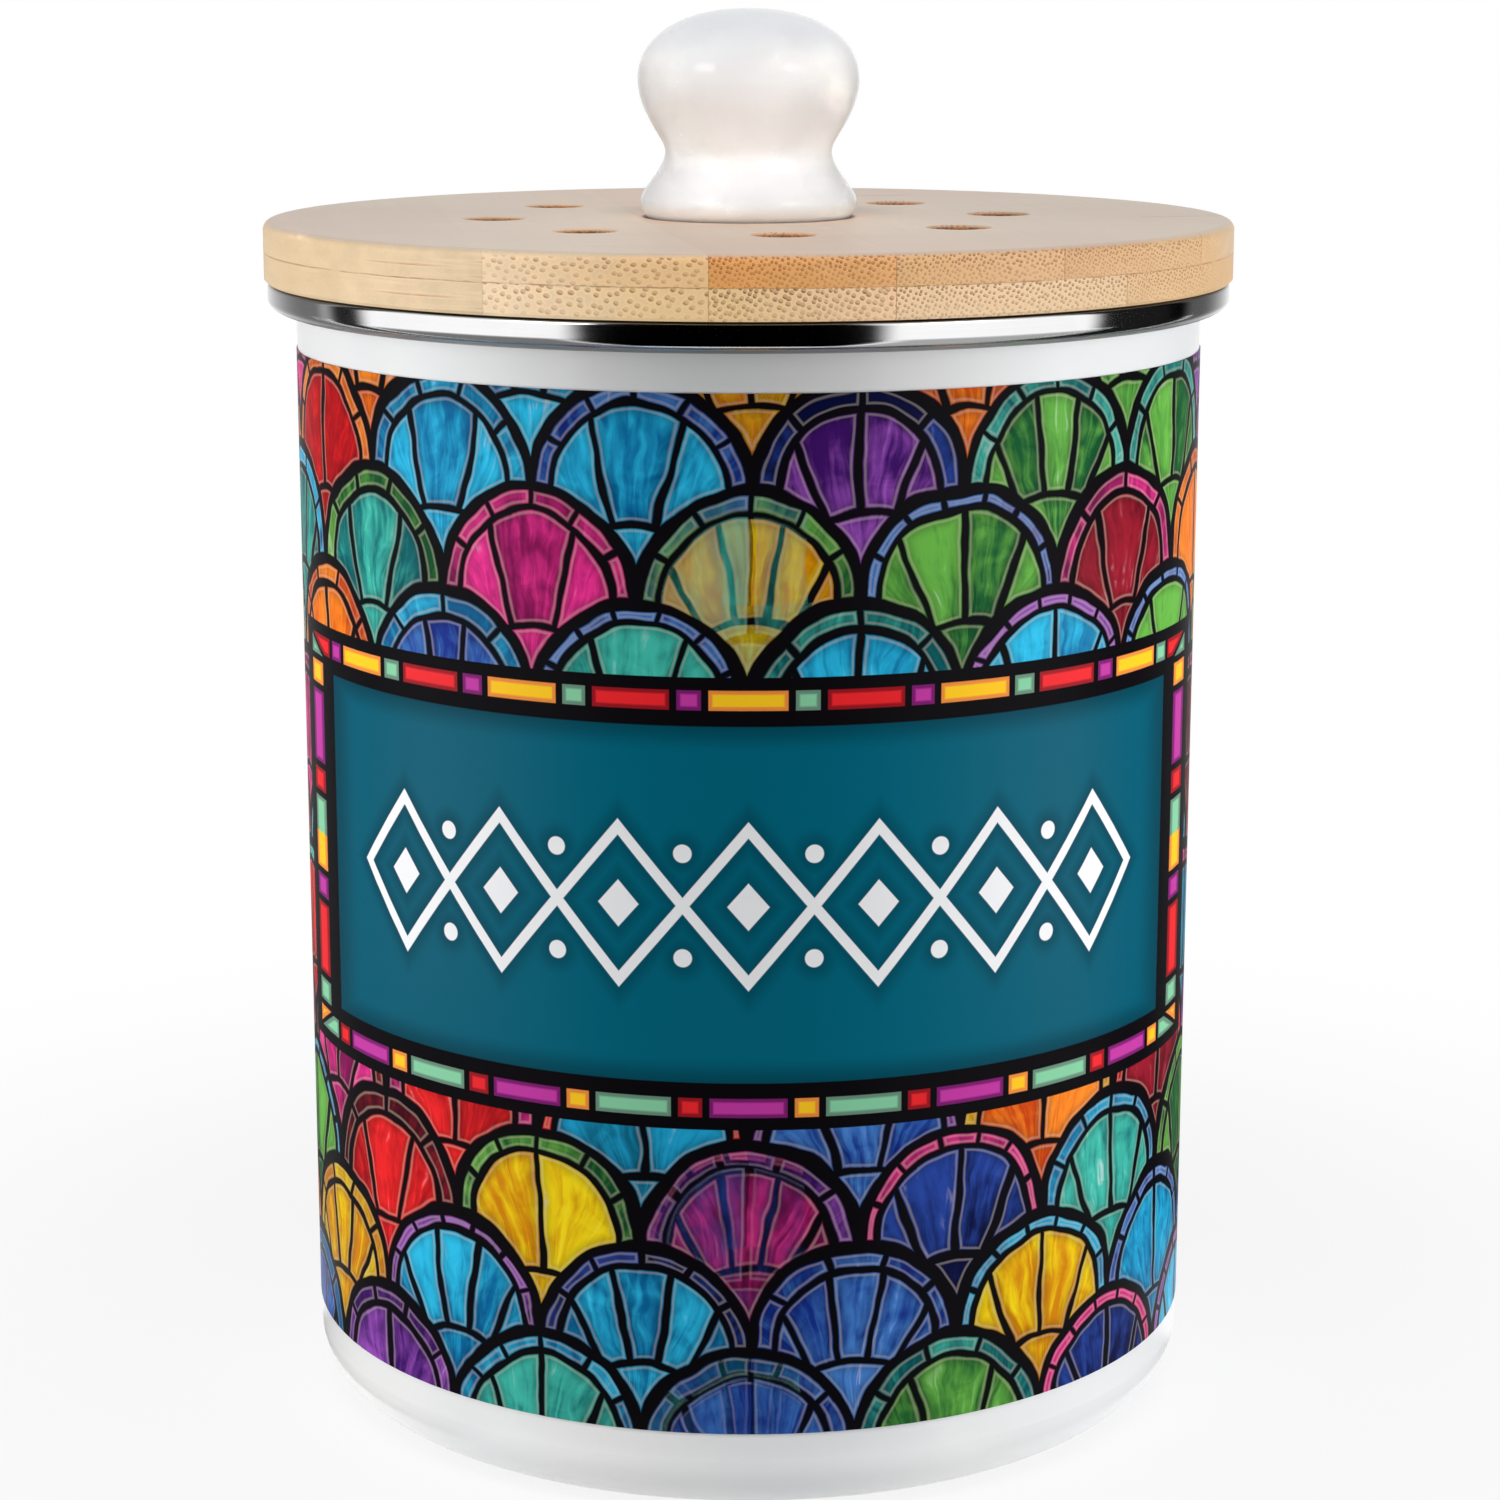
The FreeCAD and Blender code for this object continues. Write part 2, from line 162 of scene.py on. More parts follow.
class Graph:
    """The shader nodes of one material."""

    def __init__(self, tree: bpy.types.NodeTree) -> None:
        """Takes a node tree and empties it."""
        self.tree = tree
        self.tree.nodes.clear()

    def node(self, kind: str, settings: dict[str, Any], inputs: dict[Any, Any], output: Any = 0) -> Amount:
        """Adds a node.

        Args:
            kind: The node's type, without the words ShaderNode.
            settings: Its settings by name. "stops" is a colour ramp's list of place and colour,
                and "steps" says whether it steps from one to the next.
            inputs: Values or links by the name or number of their sockets.
            output: The name or number of the output to return.

        Returns:
            That output.
        """
        made = self.tree.nodes.new("ShaderNode" + kind)
        for name, value in settings.items():
            if name == "stops":
                self.set_stops(made.color_ramp, value)
            elif name == "steps":
                made.color_ramp.interpolation = "CONSTANT" if value else "EASE"
            else:
                setattr(made, name, value)
        for key, value in inputs.items():
            socket = made.inputs[key]
            if isinstance(value, Amount):
                self.tree.links.new(value.socket, socket)
            else:
                socket.default_value = value
        return Amount(self, made.outputs[output]) if len(made.outputs) else Amount(self, made.inputs[0])

    @staticmethod
    def set_stops(ramp: bpy.types.ColorRamp, stops: Sequence[tuple[float, Tint]]) -> None:
        """Gives a colour ramp its stops.

        Args:
            ramp: The ramp, which has two stops when it is new.
            stops: Place and colour of each stop, in order.
        """
        while len(ramp.elements) < len(stops):
            ramp.elements.new(1.0)
        for element, (place, colour) in zip(ramp.elements, stops):
            element.position = place
            element.color = colour

    def maths(self, operation: str, *terms: Term) -> Amount:
        """Adds a Math node on one to three terms."""
        return self.node("Math", {"operation": operation}, dict(enumerate(terms)))

    def mix(self, factor: Term, first: Any, second: Any) -> Amount:
        """Returns the first colour where the factor is 0, the second where it is 1, or a mixture."""
        settings = {"data_type": "RGBA", "clamp_factor": True}
        return self.node("Mix", settings, {0: factor, 6: first, 7: second}, 2)

    def shade(self, colour: Any, light: Term) -> Amount:
        """Returns a colour made lighter or darker by a factor."""
        plain = colour if isinstance(colour, Amount) else colour[:3]
        return self.node("VectorMath", {"operation": "SCALE"}, {"Vector": plain, "Scale": light})

    def choose(self, share: Amount, stops: Sequence[tuple[float, Tint]], steps: bool = False) -> Amount:
        """Returns a colour from a ramp, in steps or blended."""
        return self.node("ValToRGB", {"steps": steps, "stops": stops}, {"Fac": share}, "Color")

    def point(self, x: Term, y: Term, z: Term) -> Amount:
        """Returns a vector of three amounts."""
        return self.node("CombineXYZ", {}, {0: x, 1: y, 2: z})

    def noise(self, where: Amount, scale: float, detail: float = 2.0, swirl: float = 0.0) -> Amount:
        """Returns soft noise, from 0 to 1 about a half.

        Args:
            where: The place, in millimetres.
            scale: How many humps there are to a millimetre.
            detail: How many finer layers it has.
            swirl: How much it is swirled.

        Returns:
            The noise. Its Color output holds three more.
        """
        inputs = {"Vector": where, "Scale": scale, "Detail": detail, "Distortion": swirl}
        return self.node("TexNoise", {}, inputs, "Fac")

    def grain(self, x: Term, y: Term, z: Term, detail: float) -> Amount:
        """Returns soft noise at a place whose parts were stretched beforehand."""
        return self.noise(self.point(x, y, z), 1.0, detail)

    def cells(self, where: Amount, scale: float) -> Amount:
        """Returns how far a place is from the middle of its cell, in widths of a cell."""
        return self.node("TexVoronoi", {"feature": "F1"}, {"Vector": where, "Scale": scale}, "Distance")

    def three(self, colour: Amount) -> tuple[Amount, Amount, Amount]:
        """Returns the three parts of a vector or colour."""
        first = self.node("SeparateXYZ", {}, {0: colour}, "X")
        return first, first.also("Y"), first.also("Z")

    def dice(self, a: Term, b: Term, c: Term) -> Amount:
        """Returns a random amount from 0 to 1 that depends on three others."""
        settings = {"noise_dimensions": "3D"}
        return self.node("TexWhiteNoise", settings, {"Vector": self.point(a, b, c)}, "Value")

    def bump(self, height: Amount, depth: float) -> Amount:
        """Returns a normal bent by a height, where a height of 1 is as many millimetres as depth."""
        return self.node("Bump", {}, {"Height": height, "Distance": depth * MM, "Strength": 1.0})

    def finish(self, **sockets: Any) -> None:
        """Ends the graph in a Principled shader, whose sockets are named with _ for a space."""
        inputs = {name.replace("_", " "): value for name, value in sockets.items()}
        shader = self.node("BsdfPrincipled", {}, inputs)
        self.node("OutputMaterial", {}, {"Surface": shader})


class Place:
    """Where a point of a piece is, in millimetres and radians."""

    def __init__(self, graph: Graph) -> None:
        """Reads the piece's Object coordinates.

        Args:
            graph: The graph of the piece's material.
        """
        at = graph.node("TexCoord", {}, {}, "Object")
        self.vector = graph.node("VectorMath", {"operation": "SCALE"}, {"Vector": at, "Scale": 1.0 / MM})
        self.x, self.y, self.z = graph.three(self.vector)
        self.radius = self.x.length_with(self.y)
        self.turn = self.x.angle_from(-self.y)


def new_material(name: str) -> tuple[bpy.types.Material, Graph]:
    """Adds a material.

    Args:
        name: Its name.

    Returns:
        The material and its empty graph.
    """
    made = bpy.data.materials.new(name)
    made.use_nodes = True
    return made, Graph(made.node_tree)


@dataclass(frozen=True)
class Finish:
    """A finish of one kind of surface. Each kind paints its own graph."""

    name: str

    def paint(self, graph: Graph, place: Place) -> None:
        """Fills the graph; each finish has its own.

        Args:
            graph: The material's empty graph.
            place: The point's place.
        """
        raise NotImplementedError

    def material(self) -> bpy.types.Material:
        """Makes this finish's material.

        Returns:
            The material, painted.
        """
        made, graph = new_material(self.name)
        self.paint(graph, Place(graph))
        return made


def dress(piece: bpy.types.Object, finish: Finish) -> None:
    """Gives every face of a piece one finish.

    Args:
        piece: A node of the frame or a new piece.
        finish: The finish.
    """
    made = finish.material()
    if not piece.material_slots:
        piece.data.materials.append(made)
    for slot in piece.material_slots:
        slot.material = made
    log.info("%s has the finish %s", piece.name, finish.name)


@dataclass(frozen=True)
class Enamel(Finish):
    """White vitreous enamel, fused glass on drawn steel: glossy, with a slight orange peel."""

    white: Tint = screen(246, 246, 245)
    greyer_white: Tint = screen(236, 238, 240)
    peel_depth: float = 0.03

    def paint(self, graph: Graph, place: Place) -> None:
        """Paints thin areas, greyer thick ones and the orange peel.

        Args:
            graph: The material's empty graph.
            place: The point's place.
        """
        cloud = graph.noise(place.vector, 0.012, 2.0)
        colour = graph.mix(cloud.fade(0.35, 0.7), self.white, self.greyer_white)
        peel = graph.noise(place.vector, 0.28, 1.5)
        fine = graph.noise(place.vector, 1.6, 2.0)
        graph.finish(
            Base_Color=colour,
            Roughness=0.27 + fine * 0.08,
            Normal=graph.bump(peel, self.peel_depth),
            Specular_IOR_Level=0.45,
            Coat_Weight=0.5,
            Coat_Roughness=0.1,
        )


@dataclass(frozen=True)
class BuffedMetal(Finish):
    """Turned metal, buffed bright round its axis, with faint lines and smudges."""

    metal: Tint = screen(226, 228, 230)
    roughness: float = 0.07
    line_depth: float = 0.0006
    gap_height: Optional[float] = None
    gap_fade: tuple[float, float] = (-0.75, -0.3)
    tuck_height: Optional[float] = None
    tuck_fade: tuple[float, float] = (1.6, 0.5)

    def paint(self, graph: Graph, place: Place) -> None:
        """Paints buffing lines round the axis, soft smudges, and painted shade at the band's top under the
        lid and along its tucked lip.

        Args:
            graph: The material's empty graph.
            place: The point's place.
        """
        lines = graph.grain(place.turn * 0.8, place.radius * 9.0, place.z * 9.0, 3.0)
        smudge = graph.noise(place.vector, 0.05, 3.0, 0.6).fade(0.5, 0.75)
        colour = graph.shade(self.metal, 0.95 + lines * 0.08 - smudge * 0.03)
        roughness = self.roughness + lines * 0.05 + smudge * 0.06
        if self.gap_height is not None:
            # Painted shade: the metal darkens towards the band's top edge, where it meets the lid.
            gap = (place.z - self.gap_height).fade(*self.gap_fade)
            colour = graph.shade(colour, 1.0 - gap * 0.97)
        if self.tuck_height is not None:
            # Painted shade: the metal darkens towards the lower lip, where it tucks against the wall; it
            # is rougher there too.
            tuck = (place.z - self.tuck_height).fade(*self.tuck_fade)
            colour = graph.shade(colour, 1.0 - tuck * 0.72)
            roughness = roughness + tuck * 0.3
        graph.finish(
            Base_Color=colour,
            Metallic=1.0,
            Roughness=roughness,
            Normal=graph.bump(lines, self.line_depth),
        )


@dataclass(frozen=True)
class Glaze(Finish):
    """White glazed ceramic, a little warm where the glaze is thin."""

    white: Tint = screen(244, 244, 244)
    warm: Tint = screen(243, 240, 237)
    # Painted shade: a greyer, cooler white for the knob's crown.
    crown_shade: Tint = screen(235, 236, 240)
    crown: tuple[float, float] = (232.0, 243.0)
    # Painted shade: a greyer white for the knob's waist.
    greyer_white: Tint = screen(234, 234, 235)
    waist_low: tuple[float, float] = (209.0, 211.0)
    waist_high: tuple[float, float] = (218.5, 216.0)
    # Painted light: a whiter white for the knob's foot.
    foot_painted_light: Tint = screen(250, 253, 255)
    foot: tuple[float, float] = (213.5, 210.0)
    wave_depth: float = 0.02

    def paint(self, graph: Graph, place: Place) -> None:
        """Paints the glaze: thin in places, with painted shade in the waist, a painted lighter foot and
        painted cooler shade on the crown.

        Args:
            graph: The material's empty graph.
            place: The point's place.
        """
        cloud = graph.noise(place.vector, 0.05, 2.0)
        colour = graph.mix(cloud.fade(0.42, 0.75), self.white, self.warm)
        # Painted shade: the waist is painted greyer.
        waist_shade = place.z.fade(*self.waist_low) * place.z.fade(*self.waist_high)
        colour = graph.mix(waist_shade, colour, self.greyer_white)
        # Painted light: the foot is painted whiter.
        colour = graph.mix(place.z.fade(*self.foot), colour, self.foot_painted_light)
        # Painted shade: the crown is painted greyer and cooler.
        colour = graph.mix(place.z.fade(*self.crown), colour, self.crown_shade)
        wave = graph.noise(place.vector, 0.11, 1.0)
        pits = graph.cells(place.vector, 0.33).fade(0.06, 0.02)
        graph.finish(
            Base_Color=colour,
            Roughness=0.04 + cloud * 0.03,
            Normal=graph.bump(wave - pits * 0.15, self.wave_depth),
            Specular_IOR_Level=0.4,
        )


@dataclass(frozen=True)
class GlassFamily:
    """The shades of one colour of glass, and the share of the draw that it starts at."""

    start: float
    deep: Tint
    bright: Tint


def glass_families() -> tuple[GlassFamily, ...]:
    """Lists the print's colours of glass.

    Returns:
        The colours, in the order of their shares of the draw.
    """
    return (
        GlassFamily(0.00, screen(122, 12, 78), screen(238, 52, 146)),
        GlassFamily(0.10, screen(70, 8, 24), screen(150, 26, 44)),
        GlassFamily(0.17, screen(150, 12, 22), screen(236, 34, 36)),
        GlassFamily(0.28, screen(196, 62, 10), screen(250, 140, 36)),
        GlassFamily(0.35, screen(206, 128, 8), screen(246, 218, 22)),
        GlassFamily(0.42, screen(12, 84, 44), screen(104, 178, 72)),
        GlassFamily(0.50, screen(4, 92, 98), screen(66, 186, 168)),
        GlassFamily(0.56, screen(6, 96, 150), screen(44, 190, 232)),
        GlassFamily(0.68, screen(18, 44, 134), screen(72, 132, 208)),
        GlassFamily(0.78, screen(10, 16, 62), screen(40, 70, 158)),
        GlassFamily(0.86, screen(60, 18, 100), screen(158, 82, 190)),
        GlassFamily(0.95, screen(12, 100, 130), screen(30, 160, 206)),
    )


@dataclass(frozen=True)
class Pane:
    """The pane of glass that a point lies in.

    Attributes:
        fan: Which fan of its row it belongs to.
        row: Which row that is.
        draw: The fan's random amount.
        flip: Another one.
        own_draw: The pane's random amount.
        in_band: 1 in the fan's outer band.
        reach: How far the point is from the fan's foot.
        lean: Its angle there.
    """

    fan: Amount
    row: Amount
    draw: Amount
    flip: Amount
    own_draw: Amount
    in_band: Amount
    reach: Amount
    lean: Amount


@dataclass(frozen=True)
class Chain:
    """A plain chain of lozenges, with a seed in each and a dot above and below each link."""

    pitch: float = 21.1
    lozenges: int = 7
    half_height: float = 12.6
    stroke: float = 0.85
    seed: tuple[float, float] = (3.4, 3.9)
    dot_height: float = 8.6
    dot_radius: float = 1.5
    shadow_width: float = 3.2

    @staticmethod
    def outside(beside: Amount, above: Amount, half_width: float, half_height: float) -> Amount:
        """Returns how far a point lies outside a lozenge, less than 0 inside it."""
        slant = half_width * half_height / math.hypot(half_width, half_height)
        return (beside / half_width + above / half_height - 1.0) * slant

    def draw(self, around: Amount, rise: Amount) -> tuple[Amount, Amount]:
        """Draws the chain.

        Args:
            around: How far the point is round the wall from the front, in millimetres.
            rise: How far it is over the panel's middle.

        Returns:
            The chain's soft shadow and the chain itself, each from 0 to 1.
        """
        reach = self.lozenges / 2.0
        cell = (around / self.pitch).nearest().most(0.5 - reach).least(reach - 0.5)
        beside, above = (around - cell * self.pitch).size(), rise.size()
        outline = self.outside(beside, above, self.pitch / 2.0, self.half_height).size() - self.stroke
        seed = self.outside(beside, above, *self.seed)
        link = ((around / self.pitch - 0.5).nearest() + 0.5).most(1.0 - reach).least(reach - 1.0)
        dot = (around - link * self.pitch).length_with(above - self.dot_height) - self.dot_radius
        ink = outline.least(seed).least(dot)
        return ink.fade(self.shadow_width, 0.0), ink.fade(0.1, -0.1)


@dataclass(frozen=True)
class FanPrint(Finish):
    """A print like leaded glass: rows of fans, and a framed teal panel at the front."""

    radius: float = 78.3
    fans_around: int = 14
    foot: float = 12.0
    stray: float = 3.4
    jewel: tuple[float, float] = (0.66, 0.22)
    band: tuple[float, float] = (0.74, 0.1)
    least_ribs: float = 2.0
    least_tiles: float = 4.0
    region_radius: float = 78.0
    lead: Tint = screen(12, 10, 14)
    lead_widths: tuple[float, float, float] = (0.95, 0.55, 0.45)
    milk: Tint = screen(236, 226, 238)
    lead_shine: Tint = screen(255, 236, 214)
    grain_depth: float = 0.006
    panel_middle: float = 104.8
    panel_half_height: float = 37.2
    panel_half_turn: float = math.radians(75.2)
    side_frame_share: float = 0.47
    frame_steps: tuple[float, float, float] = (2.0, 5.4, 7.9)
    teal: Tint = screen(0, 88, 110)
    teal_middle: Tint = screen(0, 97, 120)
    white: Tint = screen(236, 237, 239)
    chain: Chain = Chain()
    tile_pitch: float = 18.9
    long_share: float = 0.73
    tile_gap: float = 0.5
    mitre_gap: float = 0.35
    mitre_slope: float = 0.72
    tile_rims: tuple[Tint, ...] = (
        screen(122, 30, 108), screen(232, 138, 62), screen(104, 140, 120), screen(150, 24, 34),
    )
    tile_cores: tuple[Tint, ...] = (
        screen(190, 58, 158), screen(250, 198, 34), screen(132, 202, 160), screen(232, 40, 46),
    )

    def paint(self, graph: Graph, place: Place) -> None:
        """Lays the panel over the fans and prints both on the sleeve.

        Args:
            graph: The material's empty graph.
            place: The point's place.
        """
        around = place.turn * self.radius
        rise = place.z - self.panel_middle
        beside = (self.panel_half_turn * self.radius - around.size()) * self.side_frame_share
        above = self.panel_half_height - rise.size()
        glass = self.fans(graph, place, around)
        panel = self.panel(graph, around, rise, beside, above)
        colour = graph.mix(beside.least(above).fade(-0.08, 0.08), glass, panel)
        grain = graph.noise(place.vector, 2.2, 2.0)
        graph.finish(
            Base_Color=colour,
            Roughness=0.3 + grain * 0.12,
            Normal=graph.bump(grain, self.grain_depth),
            Specular_IOR_Level=0.05,
        )

    def fans(self, graph: Graph, place: Place, around: Amount) -> Amount:
        """Draws the fans.

        Args:
            graph: The graph.
            place: The point's place.
            around: How far it is round the wall from the front, in millimetres.

        Returns:
            The colour of glass and lead.
        """
        half = math.pi * self.radius / self.fans_around
        hand = graph.noise(place.vector, 0.07, 2.0)
        hand_x, hand_z, hand_lead = graph.three(hand.also("Color"))
        u = (around + (hand_x - 0.5) * self.stray) / half
        v = (place.z - self.foot + (hand_z - 0.5) * self.stray) / half
        row = v.whole()
        rise = v - row
        across_row = (u - row.wrap(2.0) + 1.0).wrap(2.0) - 1.0
        across_next = (u - row.wrap(2.0)).wrap(2.0) - 1.0
        disc = across_row.length_with(rise)
        inside = disc < 1.0
        across = across_next + inside * (across_row - across_next)
        fan_row = row + 1.0 - inside
        up = v - fan_row + 1.0
        spot = (u - across).wrap(2.0 * self.fans_around).nearest()
        outline = (disc - 1.0).size().least(across_next.length_with(rise + 1.0) - 1.0) * half

        draw = graph.dice(spot, fan_row, 1.7)
        kind = graph.dice(spot, fan_row, 5.3)
        flip = graph.dice(spot, fan_row, 9.1)
        reach = across.length_with(up)
        lean = across.angle_from(up)
        own = across.length_with(up - 1.0)
        jewel_edge = self.jewel[0] + kind * self.jewel[1]
        band_edge = self.band[0] + flip * self.band[1]
        upper = up > 0.97
        in_jewel = reach < jewel_edge
        in_band = (own > band_edge) * upper
        ribs = (kind * 3.99).whole() + self.least_ribs
        rib_at = (lean / (math.pi / 2.0) + 0.5) * ribs
        rib_gap = rib_at.near_whole() / ribs * (math.pi / 2.0) * reach * half
        tiles = (flip * 3.99).whole() + self.least_tiles
        tile_at = (across.angle_from(up - 1.0) / math.pi + 0.5) * tiles
        tile_gap = tile_at.near_whole() / tiles * math.pi * own * half

        width = 0.8 + hand_lead.fade(0.35, 0.7) * 0.5
        main, thin, finest = self.lead_widths
        gap = outline - width * main
        gap = gap.least((reach - jewel_edge).size() * half - width * thin)
        gap = gap.least(rib_gap + (in_jewel + in_band) * FAR - width * thin)
        gap = gap.least((own - band_edge).size() * half + (1.0 - upper) * FAR - width * thin)
        gap = gap.least(tile_gap + (1.0 - in_band) * FAR - width * finest)

        # The jewel is number 31, the band's panes start at 57, and those between the ribs at 0.
        pane = in_jewel * 31.0 + in_band * (tile_at.whole() + 57.0)
        pane = pane + (1.0 - in_jewel) * (1.0 - in_band) * rib_at.whole()
        pane_draw = graph.dice(spot + pane * 0.37, fan_row, draw)
        glass = self.glass(graph, place, Pane(spot, fan_row, draw, flip, pane_draw, in_band, reach, lean))
        glass = graph.shade(glass, 0.62 + gap.fade(0.0, 2.4) * 0.38)
        rim_light = gap.fade(0.08, 0.3) * gap.fade(0.75, 0.4)
        glass = graph.mix(rim_light * 0.16, glass, self.lead_shine)
        return graph.mix(gap.fade(0.14, -0.1), glass, self.lead)

    def glass(self, graph: Graph, place: Place, pane: Pane) -> Amount:
        """Colours a pane.

        Args:
            graph: The graph.
            place: The point's place.
            pane: The pane that it lies in.

        Returns:
            The glass's colour.
        """
        fan_turn = pane.fan * (math.pi / self.fans_around)
        region_x, region_y = fan_turn.sine() * self.region_radius, fan_turn.cosine() * self.region_radius
        region = graph.noise(graph.point(region_x, region_y, pane.row * 17.0), 0.016, 1.0)
        share = (region - 0.5) * 2.1 + 0.5 + (pane.draw - 0.5) * 0.42
        share = (share + pane.in_band * (pane.flip - 0.4) * 0.5).wrap(1.0)
        families = glass_families()
        deep = graph.choose(share, [(f.start, f.deep) for f in families], True)
        bright = graph.choose(share, [(f.start, f.bright) for f in families], True)

        sway = graph.noise(place.vector, 0.1, 2.0)
        seed = pane.draw * 91.0 + pane.own_draw * 17.0
        streak_at = graph.point(pane.lean * 16.0 + sway * 3.0, pane.reach * 1.7, seed)
        streak = graph.noise(streak_at, 0.9, 4.0, 0.9)
        cloud = graph.noise(graph.point(place.x, place.y, place.z + seed), 0.16, 3.0, 1.4)
        lift = (pane.reach - 1.0) * (pane.flip - 0.5) * 0.9
        tone = pane.own_draw * 0.62 + (streak - 0.5) * 1.5 + (cloud - 0.5) * 0.8 + lift + 0.17
        colour = graph.mix(tone.fade(0.0, 1.0), deep, bright)
        milk = streak.fade(0.58, 0.74) * cloud.fade(0.45, 0.65) * pane.own_draw.fade(0.3, 0.9)
        return graph.mix(milk * 0.42, colour, self.milk)

    def panel(self, graph: Graph, around: Amount, rise: Amount, beside: Amount, above: Amount) -> Amount:
        """Draws the panel.

        Args:
            graph: The graph.
            around: How far the point is round the wall from the front, in millimetres.
            rise: How far it is over the panel's middle.
            beside: How far it lies inside the panel's upright edges.
            above: How far it lies inside the level ones.

        Returns:
            The panel's colour.
        """
        outer, tile_in, field_edge = self.frame_steps
        inset = beside.least(above)
        ground = graph.mix(around.size().fade(10.0, 84.0), self.teal_middle, self.teal)
        ground = graph.shade(ground, 0.55 + (inset - field_edge).fade(0.0, 4.5) * 0.45)
        shadow, stroke = self.chain.draw(around, rise)
        ground = graph.shade(ground, 1.0 - shadow * 0.34)
        ground = graph.mix(stroke, ground, self.white)
        tiles = self.tiles(graph, around, rise, beside, above)
        border = graph.mix((inset > outer) * (inset < tile_in), self.lead, tiles)
        return graph.mix(inset.fade(field_edge - 0.1, field_edge + 0.1), border, ground)

    def tiles(self, graph: Graph, around: Amount, rise: Amount, beside: Amount, above: Amount) -> Amount:
        """Draws the frame's tiles: a long one, then a short one.

        Args:
            graph: The graph.
            around: How far the point is round the wall from the front, in millimetres.
            rise: How far it is over the panel's middle.
            beside: How far it lies inside the panel's upright edges.
            above: How far it lies inside the level ones.

        Returns:
            The tiles' colour, with black between them.
        """
        outer, tile_in, _ = self.frame_steps
        inset = beside.least(above)
        on_side = beside < above
        along = around + on_side * (rise - around)
        turns = along / self.tile_pitch + 0.5 * self.long_share
        number = turns.whole()
        part = turns - number
        ends = part.least((part - self.long_share).size()).least(1.0 - part) * self.tile_pitch
        mitre = ((above - beside).size() - self.mitre_gap) * self.mitre_slope
        depth = (ends - self.tile_gap).least(inset - outer).least(tile_in - inset).least(mitre)
        kind = number * 2.0 + (part > self.long_share) + on_side + (rise > 0.0)
        pick = kind.wrap(4.0) / 4.0 + 0.05
        places = (0.0, 0.25, 0.5, 0.75)
        rim = graph.choose(pick, list(zip(places, self.tile_rims)), True)
        core = graph.choose(pick, list(zip(places, self.tile_cores)), True)
        colour = graph.mix(depth.fade(0.5, 0.95), rim, core)
        return graph.mix(depth.fade(0.02, 0.16), self.lead, colour)


class Ply(Enum):
    """The two layers of the lid."""

    UPPER = "lid_upper_stave_"
    LOWER = "lid_lower_stave_"


